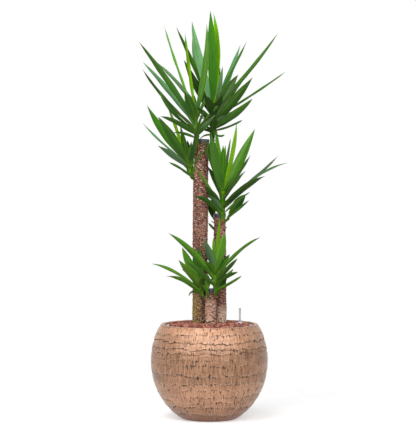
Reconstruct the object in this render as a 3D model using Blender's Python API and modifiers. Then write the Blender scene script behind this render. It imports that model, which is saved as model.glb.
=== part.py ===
"""A potted yucca: three canes with wax-sealed tops and nine leafy shoots, in lava granules.

The granules fill a liner that stands inside a round glazed planter, with a water gauge
beside the canes. Metres, +Z up, and the front faces -Y. The origin is the centre of the
planter's flat foot."""

from math import cos, pi, radians, sin, sqrt

import bmesh
import bpy
from mathutils import Vector

# Clearance between neighbouring solids
GAP = 0.0003
# Points closer than this are one point, and a sharper edge than this is drawn sharp
WELD = 0.00001
SHARP_EDGE = radians(40)

# Planter: a globe with a flat foot, a wide mouth and a thick rounded lip
BELLY_RADIUS = 0.2252
BELLY_HEIGHT = 0.222
GLOBE_BELOW = 0.250  # half height of the ellipse under the belly
GLOBE_ABOVE = 0.262  # and of the one over it
TUCK_HEIGHT = 0.330  # over this, the shoulder turns in more than the ellipse
TUCK = 0.005  # by this much at the rim
PLANTER_HEIGHT = 0.365
PLANTER_WALL = 0.012
PLANTER_FLOOR = 0.015
FLOOR_CORNER = 0.012  # height of the slope between the floor and the wall
FOOT_EDGE = 0.002
MOUTH_RADIUS = 0.1735
MOUTH_DEPTH = 0.018  # height of the straight neck inside the lip
SHOULDER = 0.030  # height of the inner slope under the neck
LIP_OUTER_ROUND = 0.005
LIP_INNER_ROUND = 0.004
TURN_STEPS = 40
WALL_POINTS = 8
OUTSIDE_POINTS = 14
LIP_POINTS = (3, 4)  # along the inner and the outer round

# Liner: a plastic pot with a flange turned inwards at its top
LINER_WALL = 0.004
LINER_FOOT_RADIUS = 0.105
LINER_KNEE = (0.168, 0.160)  # radius and height where the cone turns upright
LINER_TOP_RADIUS = 0.1695
LINER_TOP = 0.358
FLANGE_RADIUS = 0.155

# Lava granules
GRANULES_TOP = 0.3615

# Canes: foot, lean from foot to top, bend near the top, radius at foot and top, leaf rings
CANES = {
    "tall": ((-0.0355, 0.060, 0.200), (0.000, -0.006, 0.874), (0.008, -0.002), 0.0302, 0.0262, 14),
    "medium": ((0.0435, 0.098, 0.200), (-0.003, -0.018, 0.585), (0.000, 0.000), 0.0252, 0.0222, 9),
    "short": ((0.0055, 0.018, 0.200), (0.0005, -0.006, 0.298), (0.000, 0.000), 0.0222, 0.0215, 5),
}
BEND_POWER = 6  # a higher power keeps the bend and the taper nearer to the top
RING_DEPTH = 0.0006
CANE_SIDES_LEVEL = 4

# Wax over the cut top of each cane
WAX_WALL = 0.0020
WAX_HEIGHT = 0.020
WAX_TOP = 0.0022
WAX_ROUND = 0.004
WAX_STEPS = 24

# Water gauge: a clear tube with a rod inside, through a collar that lies on the granules
GAUGE_PLACE = (0.118, 0.026)
GAUGE_FOOT = 0.262
GAUGE_TOP = 0.420
TUBE_RADIUS = 0.00425
TUBE_BORE = 0.0030
TUBE_FLOOR = 0.001
ROD_RADIUS = 0.0022
ROD_TOP = 0.380
COLLAR_RADIUS = 0.0125
COLLAR_HEIGHT = 0.009
COLLAR_NECK = 0.0065
COLLAR_CURVE = ((0.92, 0.55), (1.0, 0.20))  # the dome, as shares of radius and height
PLUG_RADIUS = 0.0026
PLUG_DEPTH = 0.004
CAP_RADIUS = 0.0046
CAP_HEIGHT = 0.003
CAP_CHAMFER = (0.7, 0.6)  # where it starts and ends, as shares of radius and height
GAUGE_STEPS = 16

# Leaves: a channelled strip that narrows towards a point
LEAF_THICKNESS = 0.0016
LEAF_STATIONS = 7
LEAF_CHANNEL = 0.30  # rise of each edge, as a share of the half width
LEAF_BASE_WIDTH = 0.45  # width at the stem, as a share of the widest place
LEAF_BASE_LIMIT = 0.85  # and at most this share of the stem's width
LEAF_TAPER = 1.8
STEM_SIDES_LEVEL = 2

# Shoots: the stem's points and radius, where along it the leaves start, how many ranks of
# leaves it has, and the leaves. A leaf's row holds its rank from the bottom, the direction
# that it grows in (0 is +X and 90 is +Y), its angle above the horizon, length, width, the
# angle that it droops by at its tip, and its roll about its own length. Angles in degrees.
SHOOTS = {
    "tall_crown": (
        [(-0.010, 0.048, 1.030), (0.008, 0.045, 1.048), (0.0135, 0.045, 1.105), (0.0145, 0.045, 1.215)],
        0.008, 0.36, 18,
        [
            (2, -45, 8, 0.165, 0.014, -20, -25),
            (3, -50, 22, 0.260, 0.030, -12, -40),
            (4, 152, 49, 0.365, 0.019, 10, 75),
            (5, -52, 35, 0.300, 0.034, -4, -35),
            (8, -20, 30, 0.345, 0.010, -5, -50),
            (10, 125, 46.5, 0.300, 0.030, -6, -55),
            (11, 41, 59.5, 0.310, 0.026, -9, 20),
            (12, 12, 64, 0.310, 0.020, 0, 20),
            (14, 133, 66, 0.365, 0.034, -14, -30),
            (17, -110, 85, 0.355, 0.038, 0, 0),
        ],
    ),
    "tall_left": (
        [(-0.042, 0.036, 1.040), (-0.048, 0.018, 1.055), (-0.049, 0.028, 1.100), (-0.053, 0.035, 1.164)],
        0.0075, 0.35, 13,
        [
            (0, -140, 19, 0.125, 0.013, 30, 40),
            (2, -140, 26, 0.195, 0.024, 15, 35),
            (3, -145, 31, 0.245, 0.018, -36, 25),
            (4, 160, 42, 0.335, 0.015, -16, 70),
            (5, -13, 45.5, 0.485, 0.016, -10, -60),
            (8, -172, 55.5, 0.385, 0.028, 2, 50),
            (12, -60, 66, 0.365, 0.027, -31, -55),
        ],
    ),
    "tall_side": (
        [(-0.055, 0.055, 0.917), (-0.076, 0.045, 0.945), (-0.082, 0.042, 0.985)],
        0.007, 0.10, 12,
        [
            (7, -65, 61, 0.205, 0.022, -5, -50),
            (8, -135, 27.5, 0.185, 0.028, 2, 35),
            (9, 160, 37.5, 0.255, 0.011, -11, 65),
            (11, 173, 48.5, 0.275, 0.034, -17, 75),
        ],
    ),
    "medium_crown": (
        [(0.050, 0.064, 0.748), (0.052, 0.048, 0.764), (0.051, 0.050, 0.825), (0.051, 0.050, 0.890)],
        0.008, 0.25, 18,
        [
            (0, -140, 41, 0.165, 0.022, 37, 45),
            (2, -134, 49, 0.110, 0.024, 30, 20),
            (5, -45, 35, 0.260, 0.030, 20, -30),
            (6, 15, 41, 0.320, 0.018, 28, -40),
            (11, 13, 64, 0.295, 0.038, 0, 75),
            (12, -136, 69, 0.235, 0.028, 0, 30),
            (15, 150, 81, 0.250, 0.030, -6, -20),
        ],
    ),
    "medium_back": (
        [(0.032, 0.095, 0.748), (0.021, 0.106, 0.764), (0.019, 0.108, 0.790)],
        0.005, 0.40, 3,
        [],
    ),
    "medium_side": (
        [(0.058, 0.072, 0.752), (0.070, 0.068, 0.764), (0.078, 0.066, 0.784)],
        0.005, 0.50, 3,
        [(2, -50, 43, 0.125, 0.034, 10, -60)],
    ),
    "short_crown": (
        [(0.018, 0.000, 0.462), (0.023, -0.014, 0.478), (0.022, -0.010, 0.533), (0.022, -0.002, 0.590)],
        0.006, 0.20, 14,
        [
            (1, -40, 23, 0.145, 0.015, -10, -35),
            (6, -150, 49.5, 0.280, 0.027, 22, 45),
            (7, -30, 47, 0.260, 0.018, 23, -30),
            (10, -137, 66.5, 0.140, 0.031, 0, 30),
            (11, -37, 71, 0.150, 0.040, 0, -45),
        ],
    ),
    "short_side": (
        [(-0.012, 0.010, 0.455), (-0.025, 0.004, 0.473), (-0.029, 0.003, 0.488), (-0.035, 0.000, 0.520)],
        0.005, 0.30, 8,
        [
            (1, -145, 34.5, 0.190, 0.022, 32, 35),
            (4, -130, 41.5, 0.180, 0.030, 0, 25),
            (7, -140, 56, 0.170, 0.034, -5, 80),
        ],
    ),
    "short_front": (
        [(-0.004, 0.000, 0.462), (-0.006, -0.015, 0.476), (-0.006, -0.016, 0.502)],
        0.004, 0.60, 2,
        [(1, -100, 85, 0.055, 0.024, 0, 15)],
    ),
}

# Base colour, roughness and metallic value
MATERIALS = {
    "bronze_glaze": ((0.47, 0.25, 0.15), 0.28, 0.35),
    "liner_plastic": ((0.42, 0.42, 0.44), 0.50, 0.0),
    "lava_granules": ((0.30, 0.10, 0.06), 0.90, 0.0),
    "cane_bark": ((0.30, 0.20, 0.13), 0.85, 0.0),
    "seal_wax": ((0.05, 0.03, 0.08), 0.45, 0.0),
    "green_stem": ((0.30, 0.30, 0.12), 0.60, 0.0),
    "yucca_leaf": ((0.06, 0.18, 0.03), 0.40, 0.0),
    "gauge_grey": ((0.45, 0.50, 0.56), 0.45, 0.0),
    "gauge_clear": ((0.75, 0.80, 0.82), 0.10, 0.0),
    "rod_red": ((0.60, 0.05, 0.04), 0.40, 0.0),
}


def clear_scene():
    for thing in list(bpy.data.objects):
        bpy.data.objects.remove(thing, do_unlink=True)


def new_collection(name):
    collection = bpy.data.collections.new(name)
    bpy.context.scene.collection.children.link(collection)
    return collection


def make_materials():
    for name, (colour, roughness, metallic) in MATERIALS.items():
        material = bpy.data.materials.new(name)
        material.use_nodes = True
        shader = material.node_tree.nodes["Principled BSDF"]
        shader.inputs["Base Color"].default_value = (*colour, 1.0)
        shader.inputs["Roughness"].default_value = roughness
        shader.inputs["Metallic"].default_value = metallic
        material.diffuse_color = (*colour, 1.0)


def add_part(name, mesh, material):
    part = bpy.data.objects.new(name, mesh)
    mesh.materials.append(bpy.data.materials[material])
    PARTS.objects.link(part)
    return part


def add_cutter(name, mesh):
    cutter = bpy.data.objects.new(name, mesh)
    cutter.hide_render = True
    cutter.display_type = "WIRE"
    CUTTERS.objects.link(cutter)
    return cutter


def cut(part, cutter):
    modifier = part.modifiers.new("cut_" + cutter.name, "BOOLEAN")
    modifier.operation = "DIFFERENCE"
    modifier.object = cutter


def outline_mesh(name, outline, closed=False):
    """A line of (radius, height) points for a Screw modifier."""
    mesh = bpy.data.meshes.new(name)
    edges = [(i, i + 1) for i in range(len(outline) - 1)]
    if closed:
        edges.append((len(outline) - 1, 0))
    mesh.from_pydata([(radius, 0, height) for radius, height in outline], edges, [])
    return mesh


def turn(thing, steps):
    screw = thing.modifiers.new("turn", "SCREW")
    screw.steps = screw.render_steps = steps
    screw.use_merge_vertices = True
    screw.merge_threshold = WELD
    return thing


def tube_mesh(name, points, radii, sides_level):
    """A closed tube through the points, with one radius for each."""
    curve = bpy.data.curves.new(name, "CURVE")
    curve.dimensions = "3D"
    curve.bevel_depth = 1.0
    curve.bevel_resolution = sides_level
    curve.use_fill_caps = True
    spline = curve.splines.new("POLY")
    spline.points.add(len(points) - 1)
    for target, point, radius in zip(spline.points, points, radii):
        target.co = (*point, 1)
        target.radius = radius
    guide = bpy.data.objects.new(name, curve)
    bpy.context.scene.collection.objects.link(guide)
    graph = bpy.context.evaluated_depsgraph_get()
    mesh = bpy.data.meshes.new_from_object(guide.evaluated_get(graph))
    bpy.data.objects.remove(guide, do_unlink=True)
    bpy.data.curves.remove(curve)
    welded = bmesh.new()
    welded.from_mesh(mesh)
    bmesh.ops.remove_doubles(welded, verts=welded.verts, dist=WELD)
    welded.to_mesh(mesh)
    welded.free()
    mesh.shade_smooth()
    mesh.set_sharp_from_angle(angle=SHARP_EDGE)
    return mesh


def lengthened(points, extra):
    """The same points, with both ends moved outwards along the line."""
    first, second, *_ = points
    *_, before, last = points
    start = first + (first - second).normalized() * extra
    end = last + (last - before).normalized() * extra
    return [start, *points[1:-1], end]


# Planter, liner and granules


def globe_radius(height):
    half = GLOBE_BELOW if height < BELLY_HEIGHT else GLOBE_ABOVE
    tucked = max(0, height - TUCK_HEIGHT) / (PLANTER_HEIGHT - TUCK_HEIGHT)
    return BELLY_RADIUS * sqrt(1 - ((height - BELLY_HEIGHT) / half) ** 2) - TUCK * tucked**2


def spread(low, high, count):
    return [low + (high - low) * i / (count - 1) for i in range(count)]


def arc(centre, radius, start, end, count):
    return [
        (centre[0] + radius * cos(radians(a)), centre[1] + radius * sin(radians(a)))
        for a in spread(start, end, count)
    ]


def planter_outline():
    corner_top = PLANTER_FLOOR + FLOOR_CORNER
    corner_radius = globe_radius(PLANTER_FLOOR) - PLANTER_WALL - FLOOR_CORNER / 2
    neck_foot = PLANTER_HEIGHT - MOUTH_DEPTH
    wall_top = neck_foot - SHOULDER
    inner_round = (MOUTH_RADIUS + LIP_INNER_ROUND, PLANTER_HEIGHT - LIP_INNER_ROUND)
    outer_height = PLANTER_HEIGHT - LIP_OUTER_ROUND
    outer_round = (globe_radius(outer_height) - LIP_OUTER_ROUND, outer_height)
    outside = spread(outer_height, FOOT_EDGE, OUTSIDE_POINTS)[1:]
    inner_points, outer_points = LIP_POINTS
    return [
        (0, PLANTER_FLOOR),
        (corner_radius, PLANTER_FLOOR),
        *[(globe_radius(h) - PLANTER_WALL, h) for h in spread(corner_top, wall_top, WALL_POINTS)],
        (MOUTH_RADIUS, neck_foot),
        *arc(inner_round, LIP_INNER_ROUND, 180, 90, inner_points),
        *arc(outer_round, LIP_OUTER_ROUND, 90, 0, outer_points),
        *[(globe_radius(h), h) for h in outside],
        (globe_radius(0) - FOOT_EDGE, 0),
        (0, 0),
    ]


def liner_outline():
    foot = PLANTER_FLOOR + GAP
    knee_radius, knee_height = LINER_KNEE
    return [
        (0, foot + LINER_WALL),
        (LINER_FOOT_RADIUS - LINER_WALL, foot + LINER_WALL),
        (knee_radius - LINER_WALL, knee_height),
        (LINER_TOP_RADIUS - LINER_WALL, LINER_TOP - LINER_WALL),
        (FLANGE_RADIUS, LINER_TOP - LINER_WALL),
        (FLANGE_RADIUS, LINER_TOP),
        (LINER_TOP_RADIUS, LINER_TOP),
        (knee_radius, knee_height),
        (LINER_FOOT_RADIUS, foot),
        (0, foot),
    ]


def granules_outline():
    foot = PLANTER_FLOOR + GAP + LINER_WALL + GAP
    knee_radius, knee_height = LINER_KNEE
    inside = LINER_WALL + 2 * GAP
    under_flange = LINER_TOP - LINER_WALL - GAP
    return [
        (0, GRANULES_TOP),
        (FLANGE_RADIUS - 2 * GAP, GRANULES_TOP),
        (FLANGE_RADIUS - 2 * GAP, under_flange),
        (LINER_TOP_RADIUS - inside, under_flange),
        (knee_radius - inside, knee_height),
        (LINER_FOOT_RADIUS - inside, foot),
        (0, foot),
    ]


def build_planter():
    turn(add_part("planter", outline_mesh("planter", planter_outline()), "bronze_glaze"), TURN_STEPS)
    turn(add_part("liner", outline_mesh("liner", liner_outline()), "liner_plastic"), TURN_STEPS)
    mesh = outline_mesh("substrate", granules_outline())
    return turn(add_part("substrate", mesh, "lava_granules"), TURN_STEPS)


# Canes and their wax


def cane_line(foot, lean, bend, count):
    """Points up the middle of a cane."""
    return [
        Vector(foot) + Vector(lean) * t + Vector((*bend, 0)) * t**BEND_POWER
        for t in spread(0, 1, count)
    ]


def build_cane(name, substrate):
    foot, lean, bend, foot_radius, top_radius, rings = CANES[name]
    points = cane_line(foot, lean, bend, 2 * rings + 1)
    shares = spread(0, 1, len(points))
    radii = [foot_radius + (top_radius - foot_radius) * t**BEND_POWER for t in shares]
    ringed = [radius - RING_DEPTH * (i % 2) for i, radius in enumerate(radii)]
    add_part("cane_" + name, tube_mesh("cane_" + name, points, ringed, CANE_SIDES_LEVEL), "cane_bark")

    grown = [radius + GAP for radius in radii]
    clear_points = lengthened(points, GAP)
    cutter_mesh = tube_mesh("cutter_cane_" + name, clear_points, grown, CANE_SIDES_LEVEL)
    cutter = add_cutter("cutter_cane_" + name, cutter_mesh)
    cut(substrate, cutter)
    build_wax(name, points, top_radius, cutter)
    return cutter


def build_wax(name, points, cane_radius, cane_cutter):
    radius = cane_radius + WAX_WALL
    outline = [
        (0, WAX_TOP),
        (radius - WAX_ROUND, WAX_TOP),
        (radius - WAX_ROUND * (1 - cos(pi / 4)), WAX_TOP - WAX_ROUND * (1 - sin(pi / 4))),
        (radius, WAX_TOP - WAX_ROUND),
        (radius, WAX_TOP - WAX_HEIGHT),
        (0, WAX_TOP - WAX_HEIGHT),
    ]
    wax = add_part("wax_cap_" + name, outline_mesh("wax_cap_" + name, outline), "seal_wax")
    wax.location = points[-1]
    wax.rotation_mode = "QUATERNION"
    wax.rotation_quaternion = (points[-1] - points[-2]).to_track_quat("Z", "Y")
    cut(turn(wax, WAX_STEPS), cane_cutter)


# Shoots


def point_along(points, share):
    """The point at this share of the line's length."""
    lengths = [(b - a).length for a, b in zip(points, points[1:])]
    left = share * sum(lengths)
    for (a, b), length in zip(zip(points, points[1:]), lengths):
        if left <= length:
            return a.lerp(b, left / length)
        left -= length
    return points[-1].copy()


def half_width(t, width, stem_radius):
    """Half the leaf's width at t of its length."""
    widest = width / 2
    at_stem = min(widest * LEAF_BASE_WIDTH, stem_radius * LEAF_BASE_LIMIT)
    if t < 0.5:
        return at_stem + (widest - at_stem) * sin(pi * t)
    return widest * (1 - (2 * t - 1) ** LEAF_TAPER)


def leaf_mesh(name, base, stem_radius, turn_angle, rise, length, width, droop, roll):
    """An open strip with a raised edge on each side, for Solidify."""
    heading, roll = radians(turn_angle), radians(roll)
    out = Vector((cos(heading), sin(heading), 0))
    side = Vector((-sin(heading), cos(heading), 0))

    def along(t):
        angle = radians(rise - droop * t * t)
        return out * cos(angle) + Vector((0, 0, sin(angle)))

    strip = bmesh.new()
    rows = []
    middle = base.copy()
    for i in range(LEAF_STATIONS):
        t = i / LEAF_STATIONS
        up = along(t).cross(side)
        across = side * cos(roll) + up * sin(roll)
        face = up * cos(roll) - side * sin(roll)
        half = half_width(t, width, stem_radius)
        edge = face * half * LEAF_CHANNEL
        left = middle + across * half + edge
        right = middle - across * half + edge
        rows.append([strip.verts.new(point) for point in (left, middle, right)])
        middle = middle + along(t + 0.5 / LEAF_STATIONS) * length / LEAF_STATIONS
    for near, far in zip(rows, rows[1:]):
        strip.faces.new((near[0], near[1], far[1], far[0]))
        strip.faces.new((near[1], near[2], far[2], far[1]))
    tip = strip.verts.new(middle)
    last = rows[-1]
    strip.faces.new((last[0], last[1], tip))
    strip.faces.new((last[1], last[2], tip))
    mesh = bpy.data.meshes.new(name)
    strip.to_mesh(mesh)
    strip.free()
    return mesh


def build_shoot(name, cane_cutter):
    stem_points, radius, low, ranks, leaves = SHOOTS[name]
    points = [Vector(p) for p in stem_points]
    stem_mesh = tube_mesh("stem_" + name, points, [radius] * len(points), STEM_SIDES_LEVEL)
    cut(add_part("stem_" + name, stem_mesh, "green_stem"), cane_cutter)

    grown = [radius + GAP] * len(points)
    cutter_mesh = tube_mesh("cutter_stem_" + name, lengthened(points, GAP), grown, STEM_SIDES_LEVEL)
    cutter = add_cutter("cutter_stem_" + name, cutter_mesh)
    for rank, turn_angle, rise, length, width, droop, roll in leaves:
        leaf_name = f"leaf_{name}_{rank:02d}"
        base = point_along(points, low + (1 - low) * rank / (ranks - 1))
        mesh = leaf_mesh(leaf_name, base, radius, turn_angle, rise, length, width, droop, roll)
        leaf = add_part(leaf_name, mesh, "yucca_leaf")
        solidify = leaf.modifiers.new("thickness", "SOLIDIFY")
        solidify.thickness = LEAF_THICKNESS
        solidify.offset = 0
        cut(leaf, cutter)


# Water gauge


def add_gauge_part(name, outline, material, closed=False):
    part = turn(add_part(name, outline_mesh(name, outline, closed), material), GAUGE_STEPS)
    part.parent = GAUGE
    return part


def build_gauge(substrate):
    bore_floor = GAUGE_FOOT + TUBE_FLOOR
    add_gauge_part(
        "gauge_tube",
        [
            (0, bore_floor),
            (TUBE_BORE, bore_floor),
            (TUBE_BORE, GAUGE_TOP),
            (TUBE_RADIUS, GAUGE_TOP),
            (TUBE_RADIUS, GAUGE_FOOT),
            (0, GAUGE_FOOT),
        ],
        "gauge_clear",
    )
    rod_foot = bore_floor + GAP
    rod = [(0, ROD_TOP), (ROD_RADIUS, ROD_TOP), (ROD_RADIUS, rod_foot), (0, rod_foot)]
    add_gauge_part("gauge_float", rod, "rod_red")

    cap_foot = GAUGE_TOP + GAP
    cap_flat, cap_side = CAP_CHAMFER
    add_gauge_part(
        "gauge_cap",
        [
            (0, cap_foot + CAP_HEIGHT),
            (CAP_RADIUS * cap_flat, cap_foot + CAP_HEIGHT),
            (CAP_RADIUS, cap_foot + CAP_HEIGHT * cap_side),
            (CAP_RADIUS, cap_foot),
            (PLUG_RADIUS, cap_foot),
            (PLUG_RADIUS, GAUGE_TOP - PLUG_DEPTH),
            (0, GAUGE_TOP - PLUG_DEPTH),
        ],
        "gauge_grey",
    )
    hole = TUBE_RADIUS + GAP
    seat = GRANULES_TOP + GAP
    add_gauge_part(
        "gauge_collar",
        [
            (hole, seat + COLLAR_HEIGHT),
            (COLLAR_NECK, seat + COLLAR_HEIGHT),
            *[(COLLAR_RADIUS * out, seat + COLLAR_HEIGHT * up) for out, up in COLLAR_CURVE],
            (COLLAR_RADIUS, seat),
            (hole, seat),
        ],
        "gauge_grey",
        closed=True,
    )
    well = [
        (0, GRANULES_TOP + COLLAR_HEIGHT),
        (hole, GRANULES_TOP + COLLAR_HEIGHT),
        (hole, GAUGE_FOOT - GAP),
        (0, GAUGE_FOOT - GAP),
    ]
    cutter = turn(add_cutter("cutter_gauge", outline_mesh("cutter_gauge", well)), GAUGE_STEPS)
    cutter.parent = GAUGE
    cut(substrate, cutter)


clear_scene()
PARTS = new_collection("potted_yucca")
CUTTERS = new_collection("cutters")
make_materials()
GAUGE = bpy.data.objects.new("gauge_place", None)
GAUGE.location = (*GAUGE_PLACE, 0)
PARTS.objects.link(GAUGE)

granules = build_planter()
build_gauge(granules)
for cane_name in CANES:
    cane = build_cane(cane_name, granules)
    for shoot_name in SHOOTS:
        if shoot_name.startswith(cane_name):
            build_shoot(shoot_name, cane)
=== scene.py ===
"""The looks of the potted yucca: leaves, bark, wax, lava granules, glaze and water gauge.

Metres, +Z up, the front faces -Y. A piece that stands for a CAD solid is rebuilt from the
same driving dimensions in more detail, so it lies where its solid lies."""

from math import cos, pi, radians, sin, sqrt

import bmesh
import bpy
import numpy as np
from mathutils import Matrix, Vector


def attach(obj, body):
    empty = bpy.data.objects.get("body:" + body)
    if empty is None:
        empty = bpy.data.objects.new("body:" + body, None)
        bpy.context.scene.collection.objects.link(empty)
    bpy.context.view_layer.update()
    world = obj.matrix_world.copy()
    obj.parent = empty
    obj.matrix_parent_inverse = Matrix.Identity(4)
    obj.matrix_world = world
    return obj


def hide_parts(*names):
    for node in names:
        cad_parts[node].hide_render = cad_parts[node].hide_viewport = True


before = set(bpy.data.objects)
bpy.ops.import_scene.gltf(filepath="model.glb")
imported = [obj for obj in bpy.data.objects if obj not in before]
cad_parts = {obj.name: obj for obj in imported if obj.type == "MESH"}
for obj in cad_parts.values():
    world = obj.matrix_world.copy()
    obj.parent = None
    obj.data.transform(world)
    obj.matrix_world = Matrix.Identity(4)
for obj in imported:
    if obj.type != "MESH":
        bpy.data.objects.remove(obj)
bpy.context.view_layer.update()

# Planter
BELLY_RADIUS = 0.2252
BELLY_HEIGHT = 0.222
GLOBE_BELOW = 0.250
GLOBE_ABOVE = 0.262
TUCK_HEIGHT = 0.330
TUCK = 0.005
PLANTER_HEIGHT = 0.365
PLANTER_WALL = 0.012
PLANTER_FLOOR = 0.015
FLOOR_CORNER = 0.012
FOOT_EDGE = 0.002
MOUTH_RADIUS = 0.1735
MOUTH_DEPTH = 0.018
SHOULDER = 0.030
LIP_OUTER_ROUND = 0.005
LIP_INNER_ROUND = 0.004
LIP_WAVE = 0.0006
WAVY_LIP_ROWS = 8
PLANTER_COLUMNS = 560
# Glaze layers that overlap downwards, from the lip to the foot: mean height of the upper
# edge, how dark the crack along it is, that dark being partly painted shade under the layer
# above, how far the layer above stands out there, as a share of LAYER_STEP, and how light the
# glaze is, which in the top two layers is partly painted highlight
LAYERS = (
    (PLANTER_HEIGHT - LIP_OUTER_ROUND, 0, 0, 0.70),
    (0.334, 0.05, 0.3, 0.76), (0.308, 0.85, 1.0, 0.50), (0.284, 0.40, 0.8, 0.35), (0.268, 0.10, 0.7, 0.30),
    (0.2435, 0.05, 0.3, 0.35), (0.2235, 0.05, 0.2, 0.50), (0.1875, 0.45, 0.5, 0.32), (0.152, 0.25, 0.4, 0.70),
    (0.1285, 0.05, 0.2, 0.85), (0.1035, 0.25, 0.4, 0.60), (0.081, 0.45, 0.6, 0.50), (0.0585, 0.60, 0.8, 0.20),
    (0.0325, 0.35, 0.5, 0.00),
)
LAYER_ROWS = (0.0, 0.07, 0.16, 0.30, 0.45, 0.60, 0.74, 0.86, 0.94, 1.0)
LAYER_STEP = 0.0034  # how far a lower edge stands out over the layer below
LAYER_LEDGE = 0.0007  # height of that step
# Waves round a glaze layer, which add up: seed, number round the planter, height. They
# are for the edge, for where the crack is open, for its short gaps, for its reach
# downwards and for how light the glaze is.
EDGE_WAVES = ((99, 9, 0.0040), (199, 46, 0.0042), (299, 230, 0.00315))
CRACK_WAVES = ((400, 90, 0.7), (450, 12, 0.5))
GAP_WAVES = ((420, 210, 1),)
REACH_WAVES = ((470, 150, 1),)
LIGHT_WAVES = ((480, 14, 0.25),)
SWELL = 0.0006  # height of a layer's broad waves
RIPPLE = 0.0007  # and of its fine ones
CRACK_DEPTH = 0.0022
CRACK_OPENS = (0.30, 0.65)  # values of its waves between which a crack opens
CRACK_STRENGTH = 0.7  # how much lower those are for the darkest crack
CRACK_REACH = (0.07, 0.16)  # least share of a layer's height, and what the waves add
RED_FOOT = (0.030, 0.004)  # heights between which the foot turns red
# Pale glaze for the streaks, and painted highlight along the layers' lower edges
PALE_GLAZE_AND_HIGHLIGHT = (226, 186, 156)

# Liner and granules
LINER_WALL = 0.004
LINER_TOP = 0.358
LINER_TOP_RADIUS = 0.1695
LINER_KNEE = (0.168, 0.160)
LINER_FOOT_RADIUS = 0.105
FLANGE_RADIUS = 0.155
GRANULES_TOP = 0.3615
GRANULE_SPACING = 0.0076
GRANULE_RADIUS = 0.0043
GRANULE_SIZES = (0.72, 1.28)
GRANULE_LIFTS = (-0.0022, 0.0010)
GRANULE_STRAY = 0.18
GRANULE_SHAPES = 16
GRANULE_LUMPS = 7
BED_EDGE = 0.004
LATHE_STEPS = 128

# Canes: foot, lean from foot to top, bend near the top, radius at foot and top
CANES = {
    "tall": ((-0.0355, 0.060, 0.200), (0.000, -0.006, 0.874), (0.008, -0.002), 0.0302, 0.0262),
    "medium": ((0.0435, 0.098, 0.200), (-0.003, -0.018, 0.585), (0.000, 0.000), 0.0252, 0.0222),
    "short": ((0.0055, 0.018, 0.200), (0.0005, -0.006, 0.298), (0.000, 0.000), 0.0222, 0.0215),
}
BEND_POWER = 6
BARK_COLUMNS = 120
BARK_ROW = 0.0017
BARK_INSET = 0.0006  # how far the bark lies below the cane's radius
BARK_DEPTH = 0.012  # how far down into the granules the bark has its relief
BURIED_ROWS = 8  # below that
BARK_FADE = 0.004
BARK_PLACE_STEP = 3.0  # keeps the canes apart in their grain
# Unevenness of the bark, which adds up: seed, height, number round the cane, length
BARK_WAVES = ((41, 0.0006, 26, 0.012), (42, 0.0005, 60, 0.005), (43, 0.0008, 5, 0.05))
# Moss, pale scales and fresh bark: the cane, the direction that the patch faces, in half
# turns, its spread about it (-3 to -2 is all round), the heights between which it fades
# out, and its strength
BARK_PATCHES = (
    ("tall", 1.05, (-0.45, 0.75), (0.62, 0.40), 1.0),
    ("medium", -0.28, (0.0, 0.9), (0.45, 0.38), 0.9),
    ("short", 0.0, (-3.0, -2.0), (0.50, 0.42), 1.0),
)
# Leaf scars: spacing, half width, half height, height of the ridge, share of the upper rim
SCARS = {
    "tall": (0.0050, 0.0115, 0.0044, 0.0022, 0.05),
    "medium": (0.0075, 0.0125, 0.0052, 0.0022, 0.15),
    "short": (0.0085, 0.0175, 0.0070, 0.0018, 0.30),
}
SCAR_SIZES = (0.35, 1.10)  # from the smallest scar to the largest
SCAR_WAVE = 0.45  # how far their outlines stray, as a share of their height
SCAR_STRAY = (0.25, 0.30)  # of their headings, in radians, and of their tilts
# A scar's rim, whose pale colour is partly painted highlight, and the painted shadow below
# it, which is also a shallow groove: how far out they lie and their width, where the scar's
# outline is at 1
SCAR_RIM = (1, 0.20)
SCAR_SHADOW = (1.42, 0.25)
GOLDEN_ANGLE = radians(137.5)
WAX_WALL = 0.0020
WAX_HEIGHT = 0.020
WAX_TOP = 0.0022
WAX_ROUND = 0.004
WAX_BITE = 0.0004  # how far the wax reaches into the cane
WAX_EDGE = (0.0035, 0.0032)  # mean height of its wavy lower edge and of the waves
WAX_WOBBLE = 0.0005
WAX_DIP = 0.0006
WAX_COLUMNS = 72

# Water gauge
GAUGE_PLACE = (0.118, 0.026)
GAUGE_FOOT = 0.262
GAUGE_TOP = 0.420
GAUGE_STEPS = 48
TUBE_RADIUS = 0.00425
TUBE_BORE = 0.0030
TUBE_FLOOR = 0.001
ROD_RADIUS = 0.0022
ROD_TOP = 0.380
COLLAR_RADIUS = 0.0125
COLLAR_HEIGHT = 0.009
COLLAR_NECK = 0.0065
COLLAR_STEPS = 64
PLUG_RADIUS = 0.0026
PLUG_DEPTH = 0.004
CAP_RADIUS = 0.0046
CAP_HEIGHT = 0.003
MARK_HEIGHTS = (0.411, 0.394)
MARK_SIZE = 0.0035
GAP = 0.0003

# Leaves
LEAF_ROWS = 26
LEAF_COLUMNS = 8
LEAF_CHANNEL = 0.30
SPLIT_CHANNEL = 0.62
LEAF_CREASE = 0.018
LEAF_SWAY = 0.0015
SWAY_TURNS = (1.2, 2.2)  # half waves along a leaf
LONG_LEAF = 0.25  # shorter leaves sway less
LEAF_TWISTS = (-3, 3)  # degrees, added to the roll towards the tip
LEAF_RIPPLE = 0.0009
RIPPLE_TURNS = (55, 75)  # radians per metre
CHANNEL_SIZES = (0.85, 1.2)
LEAF_LIGHTS = (0.86, 1.14)  # how far a leaf's lightness strays from its tone
LEAF_REDS = (0.85, 1.15)  # and its share of red
LEAF_BASE_WIDTH = 0.45
LEAF_BASE_LIMIT = 1.25
LEAF_TAPER = 1.8
NARROW_TAPER = 1.4  # added to it for narrow leaves, whose tips are blunter
NARROW_WIDTHS = (0.026, 0.010)
LEAF_THICKNESS = 0.0014
LEAF_FOOT_THICKNESS = 0.0012  # added to it at the foot

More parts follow.
